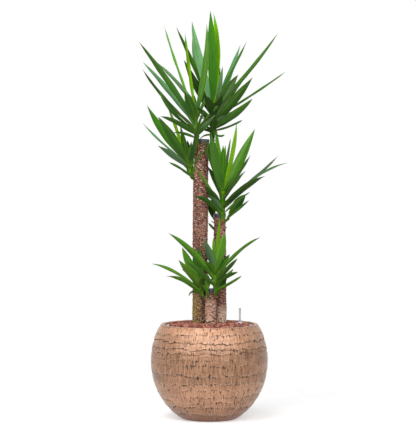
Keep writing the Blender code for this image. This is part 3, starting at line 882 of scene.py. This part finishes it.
def layer_rows(k, top, bottom, turn):
    """Rows of (radius, height, marks) down a glaze layer, with its step and its crack."""
    _, strength, stand_out, light = LAYERS[k]
    first, last = k == 0, k == len(LAYERS) - 1
    zero = np.zeros_like(turn)
    broken = layer_waves(CRACK_WAVES, k, turn)
    crack = smooth_step(*(value - CRACK_STRENGTH * strength for value in CRACK_OPENS), broken) * (1 - first)
    crack = crack * smooth_step(-0.45, 0.10, layer_waves(GAP_WAVES, k, turn))
    light = light + layer_waves(LIGHT_WAVES, k, turn)
    reach = CRACK_REACH[0] + CRACK_REACH[1] * smooth_step(0.1, 0.9, layer_waves(REACH_WAVES, k, turn))
    ledge = 0 if first else LAYER_LEDGE
    rows = []
    for share in LAYER_ROWS:
        height = top - ledge - (top - ledge - bottom) * share
        step = -LAYER_STEP * stand_out * (1 - share) ** 1.6
        wave = lattice_noise(500 + k, turn, zero + share, 34, 3) * SWELL
        ripple = lattice_noise(550 + k, turn, zero + share * 0.5, 150, 2) * RIPPLE
        wave = wave + ripple * smooth_step(0.2, 0.95, share)
        # The crack, cut into the glaze and painted dark, the dark being partly painted shade under the layer
        # above
        under = smooth_step(1.0, 0.45, share / reach) * crack
        if last:
            step, wave = step * (1 - share), wave * (1 - share)
        if first:
            wave = wave * share
        radius = globe_radius(height) + step + wave - under * CRACK_DEPTH
        # Painted highlight along the layer's lower edge, stronger where the glaze bulges out
        lip = smooth_step(0.78, 1.0, share) * (1 - last) * (0.4 + 0.6 * smooth_step(-0.0004, 0.0005, wave))
        near = zero + max(smooth_step(0.30, 0.0, share), smooth_step(0.8, 1.0, share))
        marks = [under, smooth_step(*RED_FOOT, height), lip, near, light]
        rows.append((radius, height, np.stack(marks, axis=-1)))
    return rows


def build_planter():
    turn = np.arange(PLANTER_COLUMNS) / PLANTER_COLUMNS
    zero = np.zeros_like(turn)
    plain = np.zeros((PLANTER_COLUMNS, 5)) + (0, 0, 0, 0, 0.5)
    corner_radius = globe_radius(PLANTER_FLOOR) - PLANTER_WALL - FLOOR_CORNER / 2
    neck_foot = PLANTER_HEIGHT - MOUTH_DEPTH
    inner_middle = (MOUTH_RADIUS + LIP_INNER_ROUND, PLANTER_HEIGHT - LIP_INNER_ROUND)
    outer = PLANTER_HEIGHT - LIP_OUTER_ROUND
    outer_middle = (globe_radius(outer) - LIP_OUTER_ROUND, outer)
    outline = [(corner_radius * 0.4, PLANTER_FLOOR), (corner_radius, PLANTER_FLOOR)]
    for height in np.linspace(PLANTER_FLOOR + FLOOR_CORNER, neck_foot - SHOULDER, 8):
        outline.append((globe_radius(height) - PLANTER_WALL, height))
    outline += [(MOUTH_RADIUS, neck_foot), (MOUTH_RADIUS, neck_foot + MOUTH_DEPTH * 0.4)]
    outline += arc(inner_middle, LIP_INNER_ROUND, LIP_INNER_ROUND, 180, 90, 5)
    outline += arc(outer_middle, LIP_OUTER_ROUND, LIP_OUTER_ROUND, 90, 0, 7)[:-1]
    uneven = ring_noise(11, turn, 60) * LIP_WAVE
    wavy_from = len(outline) - WAVY_LIP_ROWS
    rows = []
    for i, (radius, height) in enumerate(outline):
        rows.append((zero + radius, zero + height + (uneven if i >= wavy_from else 0), plain))
    edges = layer_edges(turn)
    for k, (top, bottom) in enumerate(zip(edges, edges[1:])):
        rows += layer_rows(k, top, bottom, turn)
    foot_radius = globe_radius(0) - FOOT_EDGE
    rows += [(zero + foot_radius, zero, plain + (0, 1, 0, 0, 0)), (zero + foot_radius * 0.5, zero, plain)]
    radius, height, marks = (np.array(values) for values in zip(*rows))
    angle = turn * 2 * pi
    marked = {
        "turn_place": around(BELLY_RADIUS + 0 * height, height, angle),
        "glaze_marks": marks[..., :3],
        "near_edge": marks[..., 3],
        "layer_light": marks[..., 4],
    }
    make_body("planter_glazed", around(radius, height, angle), "bronze_glaze", ["planter"], marked)


def build_liner():
    foot = PLANTER_FLOOR + GAP
    bevel = LINER_WALL * 0.25
    outline = [
        (LINER_FOOT_RADIUS * 0.5, foot + LINER_WALL),
        (LINER_FOOT_RADIUS - LINER_WALL, foot + LINER_WALL),
        (LINER_KNEE[0] - LINER_WALL, LINER_KNEE[1]),
        (LINER_TOP_RADIUS - LINER_WALL, LINER_TOP - LINER_WALL),
        (FLANGE_RADIUS, LINER_TOP - LINER_WALL),
        (FLANGE_RADIUS, LINER_TOP - bevel),
        (FLANGE_RADIUS + bevel, LINER_TOP),
        (LINER_TOP_RADIUS - bevel, LINER_TOP),
        (LINER_TOP_RADIUS, LINER_TOP - bevel),
        LINER_KNEE,
        (LINER_FOOT_RADIUS, foot),
        (LINER_FOOT_RADIUS * 0.5, foot),
    ]
    lathe("liner_smooth", outline, "liner_plastic", "liner")


def granule_shapes(random):
    """Small lumpy stones with a radius of about 1, as arrays of points, and their faces."""
    ball = bmesh.new()
    bmesh.ops.create_icosphere(ball, subdivisions=2, radius=1.0)
    points = np.array([v.co for v in ball.verts])
    faces = np.array([[v.index for v in face.verts] for face in ball.faces])
    ball.free()
    shapes = []
    for _ in range(GRANULE_SHAPES):
        directions = random.normal(size=(GRANULE_LUMPS, 3))
        directions /= np.linalg.norm(directions, axis=1)[:, None]
        heights = random.uniform(-0.35, 0.45, GRANULE_LUMPS)
        lumps = (np.clip(points @ directions.T, 0, 1) ** 3 * heights).sum(axis=1)
        grain = random.uniform(-0.07, 0.07, len(points))
        shapes.append(points * (1 + lumps + grain)[:, None] * random.uniform(0.75, 1.15, 3))
    return shapes, faces


def turned_at_random(random):
    matrix, _ = np.linalg.qr(random.normal(size=(3, 3)))
    return matrix * (1 if np.linalg.det(matrix) > 0 else -1)


def cane_axis(name, height):
    foot, lean, bend, foot_radius, top_radius = CANES[name]
    t = (height - foot[2]) / lean[2]
    x, y = (foot[i] + lean[i] * t + bend[i] * t**BEND_POWER for i in range(2))
    return x, y, foot_radius + (top_radius - foot_radius) * t**BEND_POWER


def granule_places(random):
    """Places of the granules on the bed, clear of the canes and the gauge."""
    keep_clear = [cane_axis(name, GRANULES_TOP) for name in CANES]
    keep_clear.append((*GAUGE_PLACE, COLLAR_RADIUS - GRANULE_RADIUS * 0.6))
    reach = FLANGE_RADIUS - BED_EDGE
    row_height = GRANULE_SPACING * sqrt(3) / 2
    rows = int(reach / row_height) + 1
    places = []
    for row in range(-rows, rows + 1):
        for column in range(-rows - 2, rows + 3):
            x = (column + 0.5 * (row % 2)) * GRANULE_SPACING
            x += random.normal() * GRANULE_SPACING * GRANULE_STRAY
            y = row * row_height + random.normal() * GRANULE_SPACING * GRANULE_STRAY
            clear = all(
                sqrt((x - cx) ** 2 + (y - cy) ** 2) > r + GRANULE_RADIUS * 0.5 for cx, cy, r in keep_clear
            )
            if sqrt(x * x + y * y) < reach and clear:
                places.append((x, y))
    return places


def build_granules():
    random = np.random.default_rng(21)
    shapes, shape_faces = granule_shapes(random)
    points, faces, tones = [], [], []
    for i, (x, y) in enumerate(granule_places(random)):
        size = GRANULE_RADIUS * random.uniform(*GRANULE_SIZES)
        lift = random.uniform(*GRANULE_LIFTS)
        stone = shapes[i % GRANULE_SHAPES] @ turned_at_random(random) * size
        points.append(stone + (x, y, GRANULES_TOP + lift))
        faces.append(shape_faces + i * len(stone))
        tones.append(np.full(len(stone), random.uniform(0, 1)))
    faces = np.concatenate(faces).tolist()
    marks = {"tone": np.concatenate(tones)}
    make_piece("granules", np.concatenate(points), faces, "lava_granules", ["substrate"], marks, 80)

    foot = PLANTER_FLOOR + LINER_WALL + 2 * GAP
    inside = LINER_WALL + 2 * GAP
    top = GRANULES_TOP - GRANULE_RADIUS * 0.7
    under_flange = LINER_TOP - LINER_WALL - GAP
    outline = [
        (FLANGE_RADIUS * 0.5, top),
        (FLANGE_RADIUS - 2 * GAP, top),
        (FLANGE_RADIUS - 2 * GAP, under_flange),
        (LINER_TOP_RADIUS - inside, under_flange),
        (LINER_KNEE[0] - inside, LINER_KNEE[1]),
        (LINER_FOOT_RADIUS - inside, foot),
        (LINER_FOOT_RADIUS * 0.5, foot),
    ]
    lathe("granule_bed", outline, "lava_granules", "substrate")


# Canes


def scar_marks(name, angle, height, radius, low, high):
    """Relief, pale ridges that are partly painted highlight, and the painted shadows below them, of the leaf
    scars on a cane, as arrays.
    """
    spacing, half_width, half_height, ridge, upper = SCARS[name]
    random = np.random.default_rng(31 + len(name))
    count = int(2 * pi * radius.mean() * (high - low) / (spacing * half_width * 2.1))
    relief, pale, dark = (np.zeros_like(height) for _ in range(3))
    turn, share = angle / (2 * pi) + 0 * height, (height - low) / (high - low)
    wave = lattice_noise(44, turn, share, 16, int((high - low) / 0.010))
    worn = lattice_noise(45, turn, share, 30, int((high - low) / 0.006))
    for i in range(count):
        centre = low + (high - low) * (i + 0.5) / count
        heading = (i * GOLDEN_ANGLE + random.normal() * SCAR_STRAY[0]) % (2 * pi)
        size = random.uniform(*SCAR_SIZES)
        wide, tall = half_width * size, half_height * size**0.6 * random.uniform(0.75, 1.25)
        power, tilt = random.uniform(0.25, 1.0), random.normal() * SCAR_STRAY[1]
        near = np.abs(height[:, 0] - centre) < tall * 3.2
        if not near.any():
            continue
        u = ((angle - heading + pi) % (2 * pi) - pi) * radius[near] / wide
        v = (height[near] - centre) / tall + tilt * u + SCAR_WAVE * wave[near]
        distance = np.sqrt(u * u + v * v)
        lower = smooth_step(0.35, -0.45, v / np.maximum(distance, 0.01))
        weight = (lower + upper * (1 - lower)) * smooth_step(-0.65, 0.05, worn[near])
        rim = bell(distance, *SCAR_RIM) * weight * power
        shadow = bell(distance, *SCAR_SHADOW) * lower * power
        hollow = smooth_step(1.0, 0.4, distance) * power
        relief[near] += (rim - shadow * 0.7 - hollow * 0.25) * ridge
        pale[near] = np.maximum(pale[near], rim)
        dark[near] = np.maximum(dark[near], shadow)
    return relief, pale, dark


def build_cane(name):
    foot, lean, *_ = CANES[name]
    buried = GRANULES_TOP - BARK_DEPTH
    top = foot[2] + lean[2]
    below = np.linspace(foot[2] + 0.002, buried, BURIED_ROWS)[:-1]
    heights = np.concatenate([[foot[2]], below, np.arange(buried, top, BARK_ROW), [top]])
    x, y, radius = cane_axis(name, heights)
    angle = circle(BARK_COLUMNS)
    turn = angle / (2 * pi) + 0 * heights[:, None]
    height = heights[:, None] + 0 * angle
    radii = radius[:, None] + 0 * angle
    relief, pale, dark = scar_marks(name, angle[None, :], height, radii, buried, top)
    share = (height - foot[2]) / lean[2]
    for seed, size, count, length in BARK_WAVES:
        relief = relief + size * lattice_noise(seed, turn, share, count, int(lean[2] / length))
    wax_foot = top - WAX_HEIGHT
    bare = smooth_step(wax_foot - BARK_FADE / 4, wax_foot + BARK_FADE, height)
    covered = smooth_step(buried, buried + BARK_FADE, height) * (1 - bare)
    rings = swept(np.stack([x, y, heights], axis=1), radii + relief * covered - BARK_INSET)
    patches = []
    for cane, facing, spread, fade, strength in BARK_PATCHES:
        on_side = smooth_step(*spread, np.cos(angle - pi * facing))
        patches.append(strength * on_side * smooth_step(*fade, height) * (cane == name))
    marked = {
        "bark_place": around(radii, height + BARK_PLACE_STEP * len(name), angle),
        "bark_marks": np.stack([pale * covered, dark * covered, 0 * pale], axis=-1),
        "bark_patches": np.stack(patches, axis=-1),
    }
    make_body("bark_" + name, rings, "cane_bark", ["cane_" + name], marked, 80)


def build_wax(name):
    """A dipped cap: a skin with a wavy lower edge over the end of the cane."""
    foot, lean, *_, top_radius = CANES[name]
    top = foot[2] + lean[2]
    x, y, _ = cane_axis(name, np.array([top - WAX_HEIGHT, top]))
    axis = Vector((x[1] - x[0], y[1] - y[0], WAX_HEIGHT)).normalized()
    radius = top_radius + WAX_WALL
    inner = top_radius - WAX_BITE
    turn = np.arange(WAX_COLUMNS) / WAX_COLUMNS
    zero = 0 * turn
    edge = WAX_TOP - WAX_HEIGHT + WAX_EDGE[0] + WAX_EDGE[1] * ring_noise(51 + len(name), turn, 11)
    wobble = WAX_WOBBLE * ring_noise(61 + len(name), turn, 17)
    # Rows of (radius, height, how worn), from under the cap round its edge to its middle
    rows = [(zero + inner * 0.5, zero - WAX_BITE / 2, zero), (zero + inner, zero - WAX_BITE / 2, zero)]
    rows += [(zero + inner, edge + WAX_BITE, zero + 1), (radius - WAX_BITE * 2 + wobble, edge, zero + 1)]
    for share in (0.15, 0.4, 0.7, 1.0):
        level = edge + (WAX_TOP - WAX_ROUND - edge) * share
        rows.append((radius + wobble * (1 - share), level, zero + smooth_step(0.5, 0.0, share)))
    for out, up in arc((radius - WAX_ROUND, WAX_TOP - WAX_ROUND), WAX_ROUND, WAX_ROUND, 30, 90, 3):
        rows.append((zero + out, zero + up, zero + 0.55 * (up - WAX_TOP + WAX_ROUND) / WAX_ROUND))
    for share in (0.75, 0.5, 0.25):
        dip = WAX_DIP * (share - 1 + 0.5 * ring_noise(71, turn, 9))
        rows.append((zero + (radius - WAX_ROUND) * share, WAX_TOP + dip, zero + 0.2))
    radii, heights, worn = np.array(rows).transpose(1, 0, 2)
    matrix = np.array(axis.to_track_quat("Z", "Y").to_matrix())
    rings = around(radii, heights, turn * 2 * pi) @ matrix.T + (x[1], y[1], top)
    make_body("wax_" + name, rings, "seal_wax", ["wax_cap_" + name], {"worn": worn})


# Shoots


def build_stem(name, line, radius):
    turn = np.arange(STEM_COLUMNS)[None, :] / STEM_COLUMNS + np.zeros((STEM_ROWS, 1))
    rise = np.linspace(0, 1, STEM_ROWS)[:, None] + 0 * turn
    rings = lengths_along(line)[-1] / STEM_RING
    phase = (rise * rings + 0.25 * np.sin(turn * 2 * pi) + 0.15 * np.sin(turn * 4 * pi)) % 1
    ring = smooth_step(0.75, 1.0, phase) + smooth_step(0.15, 0.0, phase)
    radii = radius * (0.94 + 0.05 * phase) + STEM_WAVE * lattice_noise(81, turn, rise, 9, 12)
    taper = smooth_step(1.0, 0.8, rise) * 0.45 + 0.55
    marked = {"rise": rise, "ring": ring * smooth_step(0.7, 0.3, rise)}
    make_body("shoot_" + name, swept(line, radii * taper), "green_stem", ["stem_" + name], marked)


def half_width(t, width, stem_radius):
    widest = width / 2
    at_stem = min(widest * LEAF_BASE_WIDTH, stem_radius * LEAF_BASE_LIMIT)
    lower = at_stem + (widest - at_stem) * np.sin(pi * t)
    taper = LEAF_TAPER + NARROW_TAPER * float(smooth_step(*NARROW_WIDTHS, width))
    upper = widest * (1 - np.abs(2 * t - 1) ** taper)
    return np.where(t < 0.5, lower, upper)


def tone_of(tone, across, random):
    """The leaf's colour at each point, from its tone, with painted shade on one half if its tone is a split
    one, as for a folded leaf.
    """
    base = np.array(linear(TONES[tone]))
    base[:3] *= random.uniform(*LEAF_LIGHTS)
    base[0] *= random.uniform(*LEAF_REDS)
    colours = np.tile(base, (len(across), 1))
    if tone in SPLIT_PAINTED_SHADES:
        half = smooth_step(-0.05, 0.05, across)[:, None]
        colours = colours * half + np.array(linear(SPLIT_PAINTED_SHADES[tone])) * (1 - half)
    return colours


def build_leaf(name, base, stem_radius, row, replaced=(), base_share=LEAF_BASE_SHARE):
    """A channelled strip with a thick middle, thin margins and a point."""
    turn_angle, rise, length, width, droop, roll, tone = row
    random = np.random.default_rng(sum(ord(c) * (i + 1) for i, c in enumerate(name)))
    heading = radians(turn_angle)
    out = np.array([cos(heading), sin(heading), 0.0])
    side = np.array([-sin(heading), cos(heading), 0.0])

    def along(t):
        angle = np.radians(rise - droop * t * t)[:, None]
        return out * np.cos(angle) + np.array([0, 0, 1.0]) * np.sin(angle)

    t = np.arange(LEAF_ROWS + 1) / LEAF_ROWS
    steps = along(t[:-1] + 0.5 / LEAF_ROWS) * length / LEAF_ROWS
    middle = base + np.concatenate([np.zeros((1, 3)), np.cumsum(steps, axis=0)])
    up = np.cross(along(t), side)
    twist = np.radians(roll + random.uniform(*LEAF_TWISTS) * t)[:, None]
    across = side * np.cos(twist) + up * np.sin(twist)
    face = up * np.cos(twist) - side * np.sin(twist)
    sway = random.uniform(-1, 1) * LEAF_SWAY * np.sin(t * pi * random.uniform(*SWAY_TURNS))
    middle = middle + face * sway[:, None] * min(1, length / LONG_LEAF)
    across, face, t = across[:-1, None], face[:-1, None], t[:-1, None]
    half = half_width(t, width, stem_radius)

    x = np.linspace(-1, 1, LEAF_COLUMNS + 1)
    x = np.concatenate([x, x[-2:0:-1]])
    upper = np.where(np.arange(len(x)) <= LEAF_COLUMNS, 1, -1)
    channel = (SPLIT_CHANNEL if tone in SPLIT_PAINTED_SHADES else LEAF_CHANNEL) * random.uniform(*CHANNEL_SIZES)
    raised = channel * (0.45 * np.abs(x) + 0.55 * x**2) + LEAF_CREASE * np.cos(x * 3 * pi)
    thick = LEAF_THICKNESS * (0.5 + 0.5 * smooth_step(1.0, 0.1, t))
    thick = thick + LEAF_FOOT_THICKNESS * smooth_step(0.15, 0.0, t)
    ripple = LEAF_RIPPLE * np.sin(t * length * random.uniform(*RIPPLE_TURNS) + random.uniform(0, 6)) * x**2
    lift = half * raised + ripple * np.sign(x) + upper * (1 - x**2) * thick / 2
    rings = middle[:-1, None] + across * (half * x)[..., None] + face * lift[..., None]
    seed = random.uniform(0, 50)
    share = t + 0 * x
    shares = np.stack([x + 0 * t, share, (upper < 0) + 0 * t], axis=-1)
    places = np.stack([half * x, share * length, 0 * share + seed], axis=-1)
    shares = np.concatenate([shares.reshape(-1, 3), [[0, 0, 0], [0, 1, 0]]])
    marked = {
        "leaf_share": shares,
        "leaf_place": np.concatenate([places.reshape(-1, 3), [[0, 0, seed], [0, length, seed]]]),
        "leaf_tone": tone_of(tone, shares[:, 0], random),
        "leaf_base": np.full(len(shares), base_share),
    }
    points = np.concatenate([rings.reshape(-1, 3), rings[:1].mean(axis=1), middle[-1:]])
    faces = [corners[::-1] for corners in capped_faces(*rings.shape[:2])]
    make_piece(name, points, faces, "yucca_leaf", replaced, marked, 75)


def clasp(line, stem_radius, share, row, tone, random):
    """One sheath, a flaring half tube under a leaf's foot, as points and their marks."""
    turn_angle, rise = row[:2]
    at = share * lengths_along(line)[-1] + stem_radius * np.tan(radians(min(max(rise, 0), 60))) * 0.9
    centre = points_at(line, np.linspace(at - CLASP_HEIGHT * random.uniform(0.8, 1.2), at, CLASP_ROWS))
    s = np.linspace(0, 1, CLASP_ROWS)[:, None]
    u = np.linspace(-1, 1, CLASP_COLUMNS)
    reach = CLASP_ANGLES[0] + (CLASP_ANGLES[1] - CLASP_ANGLES[0]) * s**1.5
    angle = radians(turn_angle) + np.radians(reach) * u
    out = stem_radius * (1.02 + CLASP_FLARE * s**2) - CLASP_TUCK * np.abs(u) ** 3
    height = centre[:, 2:] - CLASP_SAG * s**2 * u**2
    place = centre[:, :1], centre[:, 1:2]
    outer, inner = (around(radius, height, angle, place) for radius in (out, out - CLASP_WALL))
    rings = np.concatenate([outer, inner[:, ::-1]], axis=1)
    zero = 0 * rings[..., 0]
    across = np.concatenate([u, u[::-1]]) + zero
    shares = np.stack([across, zero + 0.35, zero], axis=-1)
    seed = zero + random.uniform(0, 50)
    places = np.stack([across * stem_radius * 1.6, zero + CLASP_GRAIN * s, seed], axis=-1)
    colours = tone_of(tone, np.zeros(zero.size + 2), random)
    return with_ends(rings), with_ends(shares), with_ends(places), colours


def build_clasps(name, line, radius, feet, base_share):
    random = np.random.default_rng(71 + len(name))
    parts, faces = [], []
    for share, row in feet:
        tone = "dark" if name in DARK_BASES else CLASP_TONES.get(row[-1], row[-1])
        parts.append(clasp(line, radius, share, row, tone, random))
        start = sum(len(part[0]) for part in parts[:-1])
        faces += [[v + start for v in face] for face in capped_faces(CLASP_ROWS, 2 * CLASP_COLUMNS)]
    points, shares, places, colours = (np.concatenate(values) for values in zip(*parts))
    marked = {
        "leaf_share": shares, "leaf_place": places, "leaf_tone": colours,
        "leaf_base": np.full(len(points), base_share),
    }
    make_piece("clasps_" + name, points, faces, "yucca_leaf", (), marked, 75)


def build_backs(name, points, radius, low, count, low_rise, high_rise, length, width):
    """Leaves that fill the back of a crown."""
    random = np.random.default_rng(91 + len(name) * count)
    for i in range(count):
        share = (i + 0.5) / count
        base = point_along(points, low + (1 - low) * (BACK_SPAN[0] + BACK_SPAN[1] * share))
        heading = BACK_TURNS[0] + (BACK_TURNS[1] - BACK_TURNS[0]) * ((i * BACK_STEP + 0.3) % 1)
        row = (
            heading, low_rise + (high_rise - low_rise) * share,
            length * random.uniform(*BACK_SIZES), width * random.uniform(*BACK_SIZES),
            random.uniform(*BACK_DROOPS), random.uniform(*BACK_ROLLS), ("mid", "deep", "dark")[i % 3],
        )
        build_leaf(f"back_{name}_{i:02d}", base, radius, row)


def build_shoot(name):
    points, radius, low, backs, leaves = SHOOTS[name]
    line = resampled(points, STEM_ROWS)
    base_share = DARK_BASES.get(name, LEAF_BASE_SHARE)
    feet = [(low + (1 - low) * rank / (len(leaves) - 1), row) for rank, row in enumerate(leaves)]
    tufts = [(share, row) for share, *row in EXTRAS.get(name, [])]
    build_stem(name, line, radius)
    build_clasps(name, line, radius, feet + tufts, base_share)
    for rank, (share, row) in enumerate(feet):
        node, blade = (f"{kind}_{name}_{rank:02d}" for kind in ("leaf", "blade"))
        build_leaf(blade, point_along(points, share), radius, row, [node], base_share)
    for i, (share, row) in enumerate(tufts):
        build_leaf(f"tuft_{name}_{i}", point_along(points, share), radius, row, (), base_share)
    if backs:
        build_backs(name, points, radius, low, *backs)


# Water gauge


def build_gauge():
    bore_floor = GAUGE_FOOT + TUBE_FLOOR
    outline = [
        (TUBE_BORE * 0.5, bore_floor), (TUBE_BORE, bore_floor), (TUBE_BORE, GAUGE_TOP),
        (TUBE_RADIUS, GAUGE_TOP), (TUBE_RADIUS, GAUGE_FOOT), (TUBE_RADIUS * 0.5, GAUGE_FOOT),
    ]
    lathe("gauge_tube_clear", outline, "gauge_clear", "gauge_tube", GAUGE_PLACE, GAUGE_STEPS)

    rod_foot = bore_floor + GAP
    outline = [
        (ROD_RADIUS * 0.4, ROD_TOP), (ROD_RADIUS * 0.8, ROD_TOP), (ROD_RADIUS, ROD_TOP - ROD_RADIUS * 0.3),
        (ROD_RADIUS, rod_foot), (ROD_RADIUS * 0.4, rod_foot),
    ]
    lathe("gauge_float_red", outline, "rod_red", "gauge_float", GAUGE_PLACE, GAUGE_STEPS)

    foot = GAUGE_TOP + GAP
    outline = [
        (CAP_RADIUS * 0.3, foot + CAP_HEIGHT), (CAP_RADIUS * 0.65, foot + CAP_HEIGHT),
        (CAP_RADIUS * 0.9, foot + CAP_HEIGHT * 0.8), (CAP_RADIUS, foot + CAP_HEIGHT * 0.5),
        (CAP_RADIUS, foot), (PLUG_RADIUS, foot),
        (PLUG_RADIUS, GAUGE_TOP - PLUG_DEPTH), (PLUG_RADIUS * 0.5, GAUGE_TOP - PLUG_DEPTH),
    ]
    lathe("gauge_cap_grey", outline, "gauge_grey", "gauge_cap", GAUGE_PLACE, GAUGE_STEPS)


def build_collar():
    """A ring round the tube, whose outline closes on itself."""
    hole = TUBE_RADIUS + GAP
    seat = GRANULES_TOP + GAP
    outline = [(hole, seat + COLLAR_HEIGHT), (COLLAR_NECK, seat + COLLAR_HEIGHT)]
    arc_middle = (COLLAR_NECK, seat + COLLAR_HEIGHT * 0.15)
    outline += arc(arc_middle, COLLAR_RADIUS - COLLAR_NECK, COLLAR_HEIGHT * 0.75, 75, 0, 7)
    outline = np.array(outline + [(COLLAR_RADIUS, seat), (hole, seat)])
    rings = around(outline[:, :1], outline[:, 1:], circle(COLLAR_STEPS), GAUGE_PLACE)
    last = len(outline) * COLLAR_STEPS
    faces = [[v % last for v in face] for face in grid_faces(len(outline) + 1, COLLAR_STEPS)]
    make_piece("gauge_collar_grey", rings.reshape(-1, 3), faces, "gauge_grey", ["gauge_collar"], sharp=40)


# Studio


def floor_material():
    """White near the object, where it takes its shadow, and fading into the background."""
    material = bpy.data.materials.new("studio_floor")
    material.use_nodes = True
    material.node_tree.nodes.clear()
    nodes = Nodes(material.node_tree)
    distance = nodes.add("VectorMath", {0: nodes.place()}, operation="LENGTH").outputs["Value"]
    diffuse = nodes.add("BsdfDiffuse", {"Color": (FLOOR_WHITE, FLOOR_WHITE, FLOOR_WHITE, 1)}).outputs[0]
    strength = nodes.times(nodes.seen_directly(), FLOOR_LIFT)
    lift = nodes.add("Emission", {"Color": WHITE, "Strength": strength}).outputs[0]
    white = nodes.add("AddShader", {0: diffuse, 1: lift}).outputs[0]
    clear = nodes.add("BsdfTransparent").outputs[0]
    shader = nodes.add("MixShader", {0: nodes.ranged(distance, *FLOOR_FADE), 1: white, 2: clear})
    nodes.add("OutputMaterial", {0: shader.outputs[0]}).is_active_output = True
    return material


def build_floor():
    corners = [(x * FLOOR_HALF, y * FLOOR_HALF, 0) for x, y in ((-1, -1), (1, -1), (1, 1), (-1, 1))]
    mesh = bpy.data.meshes.new("studio_floor")
    mesh.from_pydata(corners, [], [(0, 1, 2, 3)])
    mesh.materials.append(floor_material())
    floor = bpy.data.objects.new("studio_floor", mesh)
    floor.location.z = -FLOOR_DROP
    bpy.context.scene.collection.objects.link(floor)


def build_sky():
    """White where it is seen, and dimmer as a light on rough surfaces."""
    world = bpy.context.scene.world = bpy.data.worlds.new("studio")
    world.use_nodes = True
    world.node_tree.nodes.clear()
    nodes = Nodes(world.node_tree)
    seen, lit = (
        nodes.add("Background", {"Color": WHITE, "Strength": s}).outputs[0] for s in (1.0, SKY_STRENGTH)
    )
    both = nodes.add("MixShader", {0: nodes.seen_directly(), 1: lit, 2: seen}).outputs[0]
    nodes.add("OutputWorld", {0: both})


def placed(data, place, aim):
    """A lamp or a camera that looks from a place towards a point."""
    made = bpy.data.objects.new(data.name, data)
    made.location = place
    made.rotation_euler = (Vector(aim) - Vector(place)).to_track_quat("-Z", "Y").to_euler()
    bpy.context.scene.collection.objects.link(made)
    return made


def build_studio():
    build_floor()
    build_sky()
    for name, (place, aim, width, height, power) in SOFT_BOXES.items():
        light = bpy.data.lights.new(name, "AREA")
        light.shape = "RECTANGLE"
        light.size, light.size_y, light.energy = width, height, power
        placed(light, place, aim).visible_camera = False
    camera = bpy.data.cameras.new("camera")
    camera.lens = CAMERA_LENS
    bpy.context.scene.camera = placed(camera, CAMERA_PLACE, CAMERA_AIM)
    bpy.context.scene.view_settings.view_transform = "Standard"


for make_look in (
    make_granule_look, make_glaze_look, make_bark_look, make_wax_look,
    make_leaf_look, make_stem_look, make_clear_look, make_plastic_looks,
):
    make_look()
build_planter()
build_liner()
build_granules()
for cane_name in CANES:
    build_cane(cane_name)
    build_wax(cane_name)
for shoot_name in SHOOTS:
    build_shoot(shoot_name)
for number, (base, row) in enumerate(SPROUTS):
    build_leaf(f"sprout_{number}", np.array(base), SPROUT_RADIUS, row)
build_gauge()
build_collar()
build_studio()
